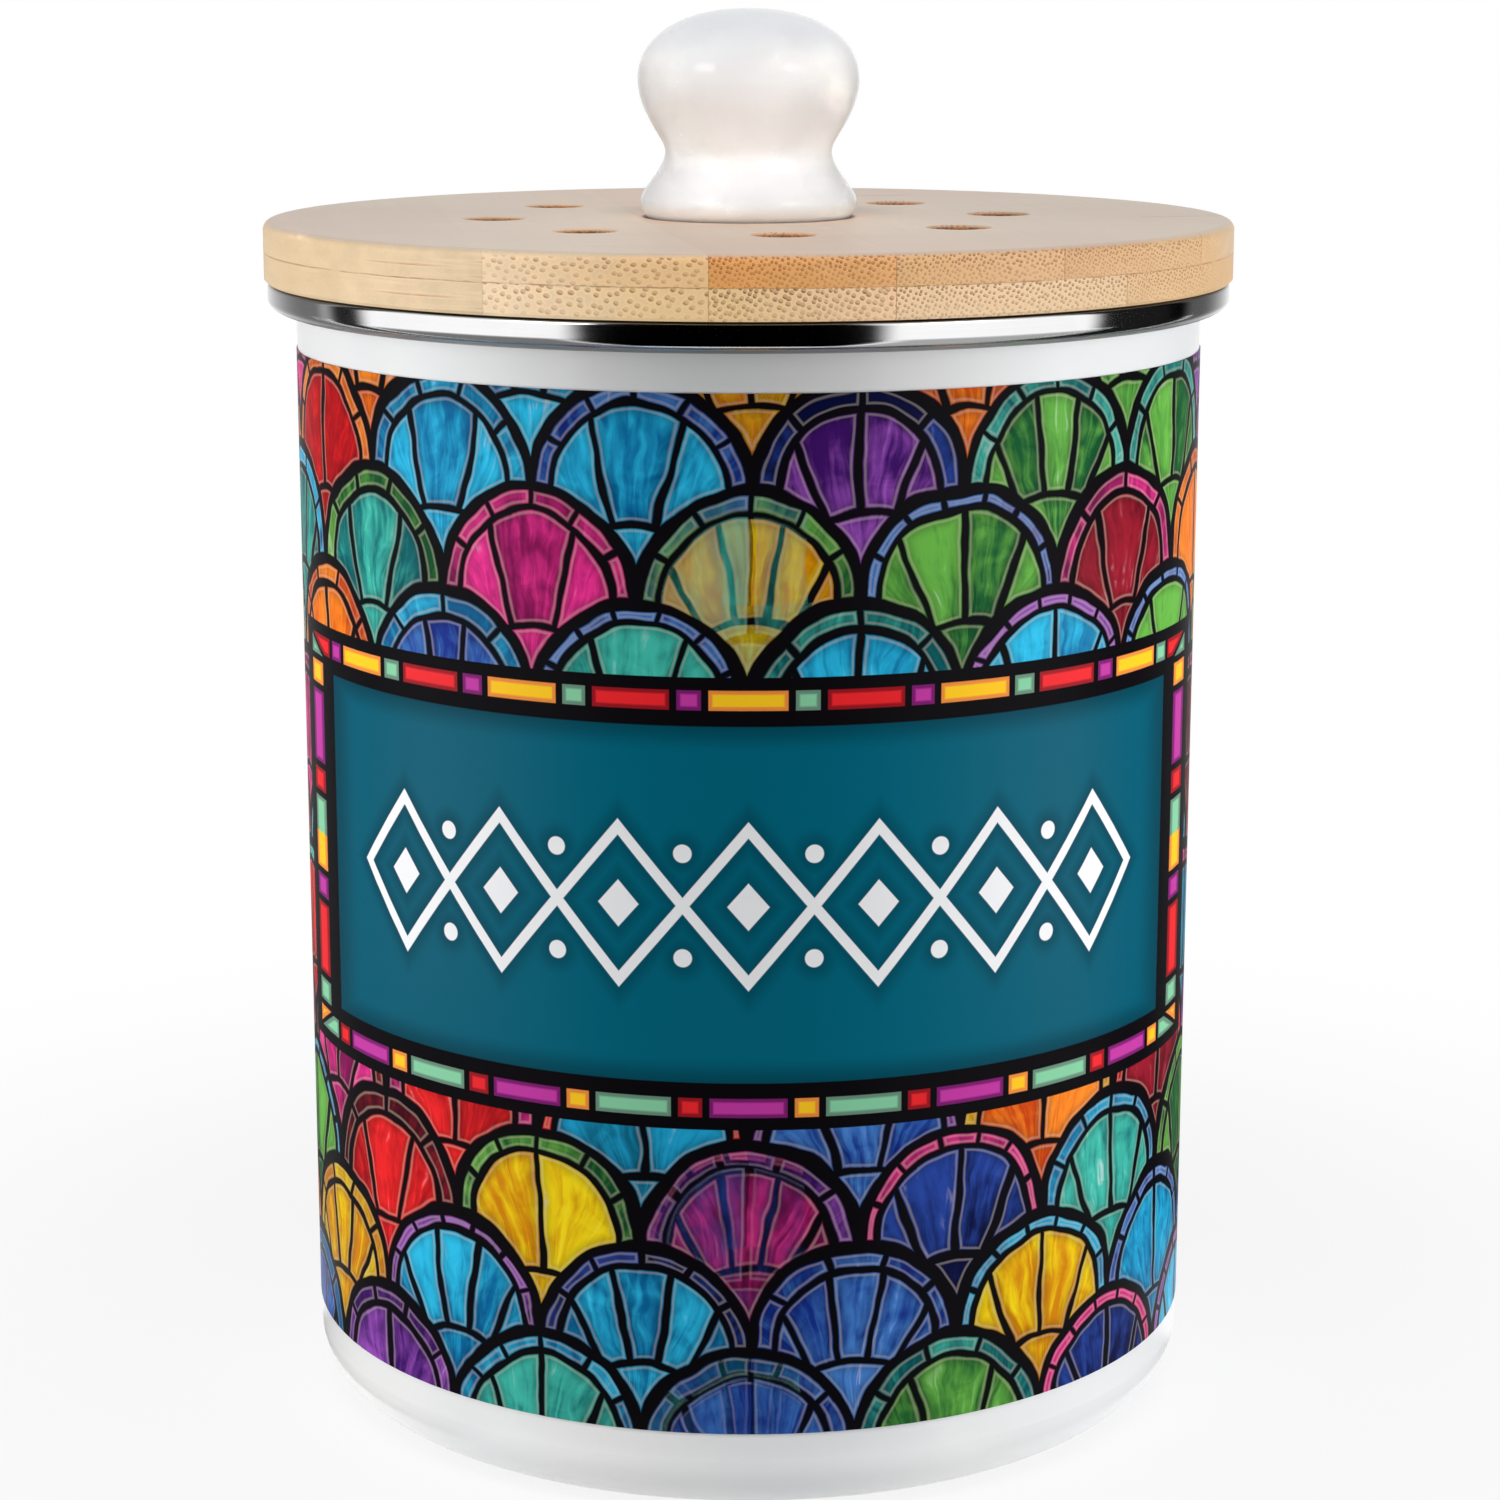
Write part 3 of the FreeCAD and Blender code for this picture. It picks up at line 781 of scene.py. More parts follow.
@dataclass(frozen=True)
class Bamboo(Finish):
    """Lacquered bamboo whose fibre bundles run along the grain and show as dots on its ends."""

    seed: float = 0.0
    body: Tint = screen(232, 200, 148)
    far_body: Tint = screen(232, 200, 148)
    bundle: Tint = screen(186, 140, 86)
    # Painted sheen: the greyer colours of the top, in place of the lacquer's reflection.
    sheen_grey: Tint = screen(212, 196, 180)
    sheen_grey_warm: Tint = screen(210, 190, 176)
    # The top's warmer colour close to the knob's foot.
    near_knob_orange: Tint = screen(240, 196, 160)
    knob_shadow: Tint = screen(66, 34, 14)
    glue: Tint = screen(150, 92, 48)
    drilled: Tint = screen(184, 112, 56)
    scorched: Tint = screen(92, 50, 24)
    relief: float = 0.05
    cell: float = 1.0
    bundle_size: float = 0.3
    stretch: float = 1.0
    edges: tuple[float, float] = (-FAR, FAR)
    heights: tuple[float, float] = (188.0, 198.2)
    glue_depth: float = 0.5
    ply_joint: float = 203.35
    knuckle: float = FAR
    end_facing: tuple[float, float] = (0.45, 0.7)
    knob_foot: float = 17.8
    vent_circle: float = 44.3
    vent_radius: float = 5.0
    vents: int = 8
    first_vent: float = math.radians(7.5)

    def paint(self, graph: Graph, place: Place) -> None:
        """Paints the bundles, the fine grain, the glue lines, the drilled walls and the lacquer, a painted
        sheen on the top, and a painted shadow round the knob's foot with warmer wood about it.

        Args:
            graph: The material's empty graph.
            place: The point's place.
        """
        cosine, sine = math.cos(GRAIN_TURN), math.sin(GRAIN_TURN)
        across = place.x * cosine + place.y * sine
        along = place.y * cosine - place.x * sine
        wander = graph.grain(across * 0.06, along * 0.012, place.z * 0.05, 1.0)
        drift = across + (wander - 0.5) * 5.0
        facing_x, facing_y, facing_z = graph.three(graph.node("TexCoord", {}, {}, "Normal"))
        on_end = (facing_y * cosine - facing_x * sine).size().fade(*self.end_facing)
        on_top = facing_z.fade(0.5, 0.95)
        discs, dips, net = self.marks(graph, place, drift, along, on_end)

        fine = graph.grain(drift * 4.5 + self.seed, along * 0.045, place.z * 4.5, 4.0)
        broad = graph.grain(drift * 0.35 + self.seed * 3.0, along * 0.02, place.z * 0.3, 3.0)
        left, right = self.edges
        share = (drift - left) / (right - left) + (broad - 0.5) * 0.5
        body = graph.mix(share.fade(0.0, 1.0), self.body, self.far_body)
        colour = graph.shade(body, 0.9 + (broad - 0.5) * 0.22 + fine * 0.18)
        colour = graph.mix(discs * 0.4, colour, self.bundle)
        colour = graph.mix(dips * 0.85, colour, self.bundle)
        colour = graph.mix(net * 0.6, colour, graph.shade(body, 1.16))
        # Painted sheen: faces that look up take a greyer colour, standing in for the lacquer's reflection.
        colour = graph.mix(on_top * 0.88, colour, self.painted_sheen(graph, place, broad, fine))

        knot = (along - self.knuckle + (wander - 0.5) * 6.0 + (broad - 0.5) * 1.6).size()
        knot = knot.fade(2.6, 0.2) * (0.1 + fine.fade(0.35, 0.65) * 0.16)
        colour = graph.mix(knot, colour, self.bundle)
        # The top is painted warmer and more orange round the knob's foot, and a painted shadow rings the
        # foot itself.
        beyond = place.radius - self.knob_foot
        colour = graph.mix(beyond.fade(7.0, 0.8) * on_top * 0.45, colour, self.near_knob_orange)
        colour = graph.mix(beyond.fade(1.0, 0.45) * on_top * 0.9, colour, self.knob_shadow)
        joints = self.joints(place, across, on_top, broad)
        colour = graph.mix(joints, colour, self.glue)

        in_vent = self.near_vent(place)
        pits = graph.noise(place.vector, 1.9, 3.0).fade(0.44, 0.6)
        wall = graph.mix(pits, self.drilled, self.scorched)
        colour = graph.mix(in_vent * 0.86, colour, wall)
        graph.finish(
            Base_Color=colour,
            Roughness=0.4 + discs * 0.12 + in_vent * 0.2 + fine * 0.08,
            Normal=graph.bump(fine * 0.5 - discs * 0.35 - joints * 0.5, self.relief),
            Specular_IOR_Level=0.42,
        )

    def painted_sheen(self, graph: Graph, place: Place, broad: Amount, fine: Amount) -> Amount:
        """Colours the top with a painted sheen, which stands in for the lacquer's reflection and makes it
        greyer than the sides.

        Args:
            graph: The graph.
            place: The point's place.
            broad: The grain's broad bands.
            fine: Its fine lines.

        Returns:
            The top's colour.
        """
        rubbed = graph.grain(place.x * 0.03, place.y * 0.5, 0.0, 4.0)
        cloud = graph.noise(place.vector, 0.02, 2.0)
        tone = graph.mix(cloud.fade(0.35, 0.65), self.sheen_grey, self.sheen_grey_warm)
        return graph.shade(tone, 0.91 + (broad - 0.5) * 0.06 + fine * 0.06 + rubbed * 0.2)

    def joints(self, place: Place, across: Amount, on_top: Amount, broad: Amount) -> Amount:
        """Draws the glue lines beside the stave and between the plies.

        Args:
            place: The point's place.
            across: How far it lies across the grain, in millimetres.
            on_top: 1 where the surface faces up.
            broad: The grain's broad bands.

        Returns:
            How strong the glue shows, from 0 to 1.
        """
        left, right = self.edges
        beside = (across - left).size().least((across - right).size()).fade(0.14, 0.03) * self.glue_depth
        between = (place.z - self.ply_joint).size().fade(0.2, 0.04) * (0.1 + broad.fade(0.4, 0.6) * 0.5)
        return (beside * (1.0 - on_top * 0.7)).most(between)

    def marks(
        self, graph: Graph, place: Place, drift: Amount, along: Amount, on_end: Amount
    ) -> tuple[Amount, Amount, Amount]:
        """Draws the fibre bundles where the stave is cut across the grain.

        Args:
            graph: The graph.
            place: The point's place.
            drift: How far it lies across the wandering grain, in millimetres.
            along: How far it lies along the grain.
            on_end: 1 where the surface faces along the grain.

        Returns:
            The bundles, their dark lower edges and the pale net between them, each from 0 to 1.
        """
        low, high = self.heights
        rise = (place.z - low) / (high - low)
        beside, up = drift / (self.cell * self.stretch) + self.seed, place.z / self.cell
        cell_x, cell_y = beside * 0.9 - up * 0.44, beside * 0.44 + up * 0.9
        cells = graph.node(
            "TexVoronoi",
            {"feature": "F1", "voronoi_dimensions": "2D"},
            {"Vector": graph.point(cell_x, cell_y, 0.0), "Scale": 1.0, "Randomness": 0.5},
            "Distance",
        )
        _, centre, _ = graph.three(cells.also("Position"))
        fading = graph.grain(drift * 0.7, along * 0.03, place.z * 0.7, 2.0)
        force = (0.06 + on_end * 0.94) * (0.55 + fading.fade(0.3, 0.6) * 0.45)
        force = force * (0.45 + rise.fade(0.1, 0.9) * 0.55)
        size = self.bundle_size
        disc = cells.fade(size + 0.06, size - 0.06) * force
        dip = (centre - cell_y).fade(-0.04, size * 0.6)
        net = cells.fade(size + 0.03, size + 0.1) * cells.fade(size + 0.3, size + 0.16)
        return disc, disc * dip, net * force

    def near_vent(self, place: Place) -> Amount:
        """Finds the vents' drilled walls.

        Args:
            place: The point's place.

        Returns:
            1 on the wall of a vent, and 0 away from the vents.
        """
        pitch = FULL_TURN / self.vents
        turn = (place.turn - self.first_vent + pitch / 2.0).wrap(pitch) - pitch / 2.0
        beside = place.radius * turn.sine()
        beyond = place.radius * turn.cosine() - self.vent_circle
        return beside.length_with(beyond).fade(self.vent_radius + 0.5, self.vent_radius + 0.05)


@dataclass(frozen=True)
class StaveLook:
    """What differs from one stave to the next."""

    body: Tint
    far_body: Tint
    bundle: Tint
    cell: float
    bundle_size: float
    knuckle: float = FAR * 2.0
    stretch: float = 1.0
    glue_depth: float = 0.5
    end_facing: tuple[float, float] = (0.45, 0.7)


@dataclass(frozen=True)
class Silicone(Finish):
    """Milky silicone with a fine moulded surface."""

    body: Tint = screen(222, 222, 216)
    skin_depth: float = 0.012

    def paint(self, graph: Graph, place: Place) -> None:
        """Paints slight clouding and the mould's texture.

        Args:
            graph: The material's empty graph.
            place: The point's place.
        """
        cloud = graph.noise(place.vector, 0.08, 2.0)
        skin = graph.noise(place.vector, 2.5, 2.0)
        graph.finish(
            Base_Color=graph.shade(self.body, 0.93 + cloud * 0.12),
            Roughness=0.4 + skin * 0.14,
            Normal=graph.bump(skin, self.skin_depth),
            Subsurface_Weight=0.25,
            Subsurface_Scale=0.004,
        )


@dataclass(frozen=True)
class CharcoalFoam(Finish):
    """Open foam loaded with charcoal: black, matt and full of pores."""

    body: Tint = screen(46, 45, 45)
    pore: Tint = screen(10, 10, 10)
    grain: Tint = screen(96, 95, 96)
    pore_depth: float = 0.3

    def paint(self, graph: Graph, place: Place) -> None:
        """Paints pores, struts and grains of charcoal.

        Args:
            graph: The material's empty graph.
            place: The point's place.
        """
        small = graph.cells(place.vector, 2.1).fade(0.42, 0.22)
        pores = graph.cells(place.vector, 0.85).fade(0.5, 0.25).most(small * 0.7)
        dust = graph.noise(place.vector, 3.4, 3.0)
        colour = graph.mix(dust.fade(0.6, 0.74) * 0.5, self.body, self.grain)
        colour = graph.mix(pores * 0.85, colour, self.pore)
        graph.finish(
            Base_Color=colour,
            Roughness=0.82 + dust * 0.14,
            Normal=graph.bump(1.0 - pores + dust * 0.3, self.pore_depth),
            Specular_IOR_Level=0.25,
        )


@dataclass(frozen=True)
class SheetSteel(Finish):
    """Plated steel: stamped clips, screws and washers, with fine rolling lines."""

    metal: Tint = screen(196, 198, 200)
    roughness: float = 0.26
    tarnish: Tint = screen(150, 146, 138)
    line_depth: float = 0.004

    def paint(self, graph: Graph, place: Place) -> None:
        """Paints rolling lines, plating clouds and small scratches.

        Args:
            graph: The material's empty graph.
            place: The point's place.
        """
        rolled = graph.grain(place.x * 0.4, place.y * 7.0, place.z * 7.0, 3.0)
        cloud = graph.noise(place.vector, 0.25, 3.0, 0.5)
        scratch = graph.grain(place.x * 3.0, place.y * 0.2, place.z, 2.0).fade(0.66, 0.72)
        colour = graph.mix(cloud.fade(0.5, 0.8) * 0.5, self.metal, self.tarnish)
        graph.finish(
            Base_Color=graph.shade(colour, 0.94 + rolled * 0.1),
            Metallic=1.0,
            Roughness=self.roughness + rolled * 0.1 + scratch * 0.12,
            Normal=graph.bump(rolled - scratch * 0.6, self.line_depth),
        )


def select_none() -> None:
    """Leaves object mode's selection empty."""
    if bpy.context.mode != "OBJECT":
        bpy.ops.object.mode_set(mode="OBJECT")
    bpy.ops.object.select_all(action="DESELECT")


def select_only(piece: bpy.types.Object) -> None:
    """Selects one piece and makes it the active one.

    Args:
        piece: The piece.
    """
    select_none()
    piece.select_set(True)
    bpy.context.view_layer.objects.active = piece


def settle(piece: bpy.types.Object) -> None:
    """Puts a piece's place, turn and size into its mesh.

    Args:
        piece: The piece.
    """
    select_only(piece)
    bpy.ops.object.transform_apply(location=True, rotation=True, scale=True)


def apply_modifier(piece: bpy.types.Object, kind: str, **settings: Any) -> None:
    """Adds a modifier to a piece and applies it.

    Args:
        piece: The piece.
        kind: The modifier's type.
        **settings: The modifier's settings by name.
    """
    modifier = piece.modifiers.new(kind.lower(), kind)
    for name, value in settings.items():
        setattr(modifier, name, value)
    select_only(piece)
    bpy.ops.object.modifier_apply(modifier=modifier.name)


@dataclass
class FilterPad:
    """The charcoal foam disc behind the vents, held by its rim and slack at its middle."""

    node: str = "charcoal_filter"
    body: str = "lid"
    round_off: float = 1.6 * MM
    pore_grid: float = 1.1 * MM
    pore_size: float = 2.2 * MM
    pore_depth: float = 0.55 * MM
    sag: float = 0.9 * MM
    sag_radius: float = 42.0 * MM
    sides: int = 96

    def build(self) -> bpy.types.Object:
        """Models the pad in its node's space.

        Returns:
            The pad, riding on the lid.
        """
        low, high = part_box(self.node)
        radius, depth = high.x, high.z - low.z
        select_none()
        bpy.ops.mesh.primitive_cylinder_add(
            vertices=self.sides,
            radius=radius - self.pore_depth / 2.0,
            depth=depth - self.pore_depth,
            location=(0.0, 0.0, (low.z + high.z) / 2.0),
        )
        pad = bpy.context.active_object
        pad.name = pad.data.name = "charcoal_filter_pad"
        settle(pad)
        apply_modifier(pad, "BEVEL", width=self.round_off, segments=4, limit_method="ANGLE")
        apply_modifier(pad, "REMESH", mode="VOXEL", voxel_size=self.pore_grid, use_smooth_shade=True)
        self.open_pores(pad)
        self.let_sag(pad, low.z)
        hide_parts(self.node)
        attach(pad, self.body)
        dress(pad, CharcoalFoam("charcoal_foam"))
        return pad

    def open_pores(self, pad: bpy.types.Object) -> None:
        """Roughens the pad's skin with pores.

        Args:
            pad: The pad, finely meshed.
        """
        pores = bpy.data.textures.new("pores", "CLOUDS")
        pores.noise_scale = self.pore_size
        pores.noise_depth = 2
        apply_modifier(
            pad,
            "DISPLACE",
            texture=pores,
            texture_coords="LOCAL",
            strength=self.pore_depth,
            mid_level=0.75,
        )

    def let_sag(self, pad: bpy.types.Object, underside: float) -> None:
        """Lowers the middle of the pad's underside a little.

        Args:
            pad: The pad.
            underside: The height of its underside.
        """
        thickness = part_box(self.node)[1].z - underside
        for vertex in pad.data.vertices:
            out = min(1.0, math.hypot(vertex.co.x, vertex.co.y) / self.sag_radius)
            near_foot = 1.0 - (vertex.co.z - underside) / thickness
            vertex.co.z -= self.sag * (1.0 - out * out) ** 2 * max(0.0, near_foot)


@dataclass
class RimBand:
    """The bright strip over the mouth's curled edge, turned fine enough to mirror cleanly."""

    node: str = "rim_band"
    body: str = "canister"
    sheet: float = 0.5 * MM
    inner_leg: float = 3.4 * MM
    inner_round: float = 0.7 * MM
    top_round: float = 1.0 * MM
    straight: float = 2.9 * MM
    belly: float = 2.4 * MM
    lip_radius: float = 78.85 * MM
    sides: int = 288
    round_steps: int = 9
    belly_steps: int = 18
    weld: float = 0.002 * MM
    smooth_below: float = math.radians(30.0)

    def build(self) -> bpy.types.Object:
        """Models the band by drawing a ring out along its section.

        Returns:
            The band, riding on the canister.
        """
        section = self.section()
        select_none()
        bpy.ops.mesh.primitive_circle_add(
            vertices=self.sides,
            radius=section[0][0],
            location=(0.0, 0.0, section[0][1]),
        )
        band = bpy.context.active_object
        band.name = band.data.name = "buffed_rim_band"
        settle(band)
        bpy.ops.object.mode_set(mode="EDIT")
        bpy.ops.mesh.select_all(action="SELECT")
        for (radius, height), (next_radius, next_height) in zip(section, section[1:] + section[:1]):
            grow = next_radius / radius
            rise = (0.0, 0.0, next_height - height)
            bpy.ops.mesh.extrude_region_move(TRANSFORM_OT_translate={"value": rise})
            bpy.ops.transform.resize(value=(grow, grow, 1.0), center_override=(0.0, 0.0, next_height))
        bpy.ops.mesh.select_all(action="SELECT")
        bpy.ops.mesh.remove_doubles(threshold=self.weld)
        bpy.ops.mesh.normals_make_consistent(inside=False)
        bpy.ops.object.mode_set(mode="OBJECT")
        bpy.ops.object.shade_smooth_by_angle(angle=self.smooth_below)
        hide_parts(self.node)
        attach(band, self.body)
        top = section[0][1] + self.inner_leg
        lip = top - self.straight - self.belly
        # The finish paints shade at the band's top under the lid and along its tucked lip.
        finish = BuffedMetal(
            "buffed_rim_steel", screen(250, 250, 251), gap_height=top / MM, tuck_height=lip / MM
        )
        dress(band, finish)
        return band

    def section(self) -> list[tuple[float, float]]:
        """Works the band's section out from the solid's own size.

        Returns:
            Its corners as radius and height, once round from the inner leg's foot.
        """
        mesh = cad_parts[self.node].data
        radii = [math.hypot(v.co.x, v.co.y) for v in mesh.vertices]
        inner, outer, top = min(radii), max(radii), max(v.co.z for v in mesh.vertices)
        foot, belly_top = top - self.inner_leg, top - self.straight
        inner_middle = (inner + self.inner_round, top - self.inner_round)
        outer_middle = (outer - self.top_round, top - self.top_round)
        lip_middle = (self.lip_radius, belly_top)
        across = outer - self.lip_radius
        points = [(inner, foot)]
        points += arc(inner_middle, (self.inner_round, self.inner_round), 180.0, 90.0, self.round_steps)
        points += arc(outer_middle, (self.top_round, self.top_round), 90.0, 0.0, self.round_steps)
        points += arc(lip_middle, (across, self.belly), 0.0, -90.0, self.belly_steps)
        inner_sweep = (across - self.sheet, self.belly - self.sheet)
        points += arc(lip_middle, inner_sweep, -90.0, 0.0, self.belly_steps)
        points.append((outer - self.sheet, top - self.sheet))
        points.append((inner + self.sheet, top - self.sheet))
        points.append((inner + self.sheet, foot))
        return points


def arc(
    middle: tuple[float, float], sweep: tuple[float, float], start: float, end: float, steps: int
) -> list[tuple[float, float]]:
    """Returns points along part of an upright ellipse.

    Args:
        middle: Its middle, as radius and height.
        sweep: How far it reaches sideways and upwards.
        start: The angle of its first point, in degrees.
        end: The angle of its last point.
        steps: How many pieces it is cut into.

    Returns:
        The points, the first and last among them.
    """
    angles = [math.radians(start + (end - start) * step / steps) for step in range(steps + 1)]
    return [(middle[0] + sweep[0] * math.cos(a), middle[1] + sweep[1] * math.sin(a)) for a in angles]


@dataclass
class Canister:
    """The enamelled vessel with its print and its steel rim."""

    shell: str = "canister_shell"
    sleeve: str = "printed_sleeve"
    band: RimBand = field(default_factory=RimBand)

    def build(self) -> None:
        """Dresses the vessel's nodes."""
        dress(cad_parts[self.shell], Enamel("white_enamel"))
        self.band.build()
        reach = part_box(self.sleeve)[1].x / MM
        dress(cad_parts[self.sleeve], FanPrint("glass_fan_print", radius=reach))


@dataclass
class Lid:
    """The bamboo lid with its staves, plug ring, seal and filter."""

    ring: str = "plug_ring"
    seal: str = "lid_seal"
    pad: FilterPad = field(default_factory=FilterPad)

    def looks(self) -> dict[Ply, tuple[StaveLook, ...]]:
        """Lists what is each stave's own.

        Returns:
            The looks of each ply's staves, from -X to +X.
        """
        tan, brown = screen(184, 116, 60), screen(144, 68, 24)
        umber, deep = screen(148, 80, 42), screen(118, 58, 26)
        left, left_in = screen(217, 190, 152), screen(229, 202, 164)
        right = screen(212, 176, 133)
        return {
            Ply.UPPER: (
                StaveLook(left, left_in, tan, 1.1, 0.14, stretch=30.0, glue_depth=0.12),
                StaveLook(
                    screen(245, 217, 178), screen(255, 212, 156), tan, 1.15, 0.28,
                    stretch=1.3, glue_depth=0.12, end_facing=(0.7, 0.86),
                ),
                StaveLook(screen(251, 180, 107), screen(243, 184, 123), brown, 0.78, 0.34),
                StaveLook(screen(238, 189, 134), screen(220, 176, 130), deep, 0.74, 0.33, 52.0),
                StaveLook(screen(213, 169, 122), right, deep, 0.64, 0.32),
                StaveLook(right, screen(210, 188, 160), tan, 0.62, 0.28, -12.0),
            ),
            Ply.LOWER: (
                StaveLook(left, left_in, tan, 1.1, 0.14, stretch=30.0, glue_depth=0.12),
                StaveLook(
                    screen(250, 222, 184), screen(255, 220, 165), tan, 1.35, 0.28,
                    40.0, stretch=1.15, glue_depth=0.3, end_facing=(0.7, 0.86),
                ),
                StaveLook(screen(255, 219, 164), screen(255, 215, 171), umber, 1.0, 0.37),
                StaveLook(screen(248, 213, 170), screen(218, 187, 147), deep, 0.8, 0.33, -44.0),
                StaveLook(right, right, deep, 0.62, 0.3, 10.0),
            ),
        }

    def build(self) -> None:
        """Dresses the staves, the ring and the seal, and models the pad."""
        for ply, looks in self.looks().items():
            for number, look in enumerate(looks, 1):
                self.dress_stave(ply, number, look)
        like = self.looks()[Ply.LOWER][0]
        ring = Bamboo(
            "bamboo_ring",
            seed=61.0,
            body=like.body,
            far_body=like.far_body,
            bundle=like.bundle,
            cell=1.1,
            bundle_size=0.26,
        )
        dress(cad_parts[self.ring], ring)
        dress(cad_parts[self.seal], Silicone("milky_silicone"))
        self.pad.build()

    @staticmethod
    def dress_stave(ply: Ply, number: int, look: StaveLook) -> None:
        """Gives one stave its own bamboo.

        Args:
            ply: Which layer it is in.
            number: Its number in the layer, from 1.
            look: What is its own.
        """
        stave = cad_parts[f"{ply.value}{number}"]
        cosine, sine = math.cos(GRAIN_TURN), math.sin(GRAIN_TURN)
        places = [(v.co.x * cosine + v.co.y * sine) / MM for v in stave.data.vertices]
        heights = [v.co.z / MM for v in stave.data.vertices]
        finish = Bamboo(
            f"bamboo_{ply.name.lower()}_{number}",
            seed=number * 13.7 + (140.0 if ply is Ply.LOWER else 0.0),
            edges=(min(places), max(places)),
            heights=(min(heights), max(heights)),
            **vars(look),
        )
        dress(stave, finish)


@dataclass
class Hardware:
    """The knob with its bolt, insert and washer, and the clips with their screws."""

    clips: int = 3

    def build(self) -> None:
        """Dresses the knob and the metal parts."""
        finishes: dict[str, Finish] = {
            "knob": Glaze("white_glaze"),
            "knob_insert": BuffedMetal("turned_brass", screen(214, 176, 96), 0.22, 0.004),
            "knob_bolt": SheetSteel("bolt_zinc", screen(190, 193, 198), 0.24),
            "knob_washer": SheetSteel("washer_zinc", screen(198, 200, 204), 0.28),
            "clip_screws": SheetSteel("screw_zinc", screen(190, 192, 194), 0.22),
        }
        for number in range(1, self.clips + 1):
            finishes[f"filter_clip_{number}"] = SheetSteel(f"clip_steel_{number}")
        for node, finish in finishes.items():
            dress(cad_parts[node], finish)


@dataclass
class Camera:
    """The camera at the photograph's place."""

    place: Vector = field(default_factory=lambda: Vector((0.0, -0.6383, 0.2522)))
    pitch: float = math.radians(77.76)
    lens: float = 87.18
    shift: tuple[float, float] = (0.001, -0.0016)

    def build(self) -> None:
        """Adds the camera and makes it the scene's own."""
        bpy.ops.object.camera_add(location=self.place, rotation=(self.pitch, 0.0, 0.0))
        camera = bpy.context.active_object
        camera.data.lens = self.lens
        camera.data.shift_x, camera.data.shift_y = self.shift
        camera.data.clip_start = 0.01
        camera.data.clip_end = 50.0
        bpy.context.scene.camera = camera


@dataclass(frozen=True)
class Lamp:
    """A soft rectangular lamp near the object, which faces it or faces up."""

    name: str
    azimuth: float
    distance: float
    height: float
    size: tuple[float, float]
    power: float
    aim: float = 0.12
    upwards: bool = False
    spread: float = 180.0
    only_mirrored: bool = False

    def build(self) -> bpy.types.Object:
        """Adds the lamp, which only lights: the camera never sees it.

        Returns:
            The lamp.
        """
        turn = math.radians(self.azimuth)
        place = Vector((math.sin(turn) * self.distance, -math.cos(turn) * self.distance, self.height))
        facing = Vector((0.0, 0.0, 1.0)) if self.upwards else Vector((0.0, 0.0, self.aim)) - place
        bpy.ops.object.light_add(type="AREA", location=place)
        lamp = bpy.context.active_object
        lamp.name = self.name
        lamp.rotation_euler = facing.to_track_quat("-Z", "Y").to_euler()
        lamp.data.shape = "RECTANGLE"
        lamp.data.size, lamp.data.size_y = self.size
        lamp.data.energy = self.power
        lamp.data.spread = math.radians(self.spread)
        lamp.visible_glossy = self.only_mirrored
        lamp.visible_diffuse = not self.only_mirrored
        lamp.visible_camera = False
        return lamp


@dataclass(frozen=True)
class Card:
    """A black card that only mirrors show: a strip of floor, for most with a wall behind it.

    Attributes:
        name: The card's name.
        start: The azimuth where it starts, in degrees, 0 in front and 90 towards +X.
        end: The azimuth where it ends.
        near: The inner radius of the strip.
        depth: How black it is, from 0 to 1.
        wall: Whether it has a wall, or only a strip of floor that fades outwards.
        soft: How far it takes to fade in and to fade out, in degrees.
    """

    name: str
    start: float
    end: float
    near: float
    depth: float = 1.0
    wall: bool = True
    soft: tuple[float, float] = (7.0, 7.0)
    lift: float = 2.0 * MM
    wall_place: tuple[float, float] = (1.3, 3.0)
    strip_place: tuple[float, float] = (0.85, 3.0 * MM)
    strip_full: float = 0.3
    steps: int = 24

    def build(self) -> None:
        """Adds the card by turning its profile about the object's axis."""
        select_none()
        turn = math.radians(self.start)
        out, up = Vector((math.sin(turn), -math.cos(turn), 0.0)), Vector((0.0, 0.0, 1.0))
        far, height = self.wall_place if self.wall else self.strip_place
        corners = ((self.near, self.lift), (far, self.lift), (far, height))
        bpy.ops.mesh.primitive_plane_add(size=1.0)
        card = bpy.context.active_object
        card.name = self.name
        mesh = bmesh.new()
        points = [mesh.verts.new(out * radius + up * rise) for radius, rise in corners]
        edges = [mesh.edges.new(points[i : i + 2]) for i in range(2)]
        bmesh.ops.spin(
            mesh,
            geom=points + edges,
            cent=(0.0, 0.0, 0.0),
            axis=(0.0, 0.0, 1.0),
            angle=math.radians(self.end - self.start),
            steps=self.steps,
            use_merge=False,
        )
        mesh.to_mesh(card.data)
        mesh.free()
        card.data.materials.clear()
        card.data.materials.append(self.black())
        card.visible_camera = False
        card.visible_diffuse = False
        card.visible_shadow = False
        card.visible_transmission = False

    def black(self) -> bpy.types.Material:
        """Makes the card's material.

        Returns:
            A black that turns see-through towards the card's ends.
        """
        made, graph = new_material(self.name + "_black")
        place = Place(graph)
        low, high = math.radians(self.start), math.radians(self.end)
        soft_in, soft_out = (math.radians(angle) for angle in self.soft)
        cover = place.turn.fade(low, low + soft_in) * place.turn.fade(high, high - soft_out)
        if not self.wall:
            cover = cover * place.radius.fade(self.strip_place[0] / MM, self.strip_full / MM)
        black = graph.node("Emission", {}, {"Color": (0.0, 0.0, 0.0, 1.0), "Strength": 0.0})
        clear = graph.node("BsdfTransparent", {}, {})
        mixed = graph.node("MixShader", {}, {0: cover * self.depth, 1: clear, 2: black})
        graph.node("OutputMaterial", {}, {"Surface": mixed})
        return made


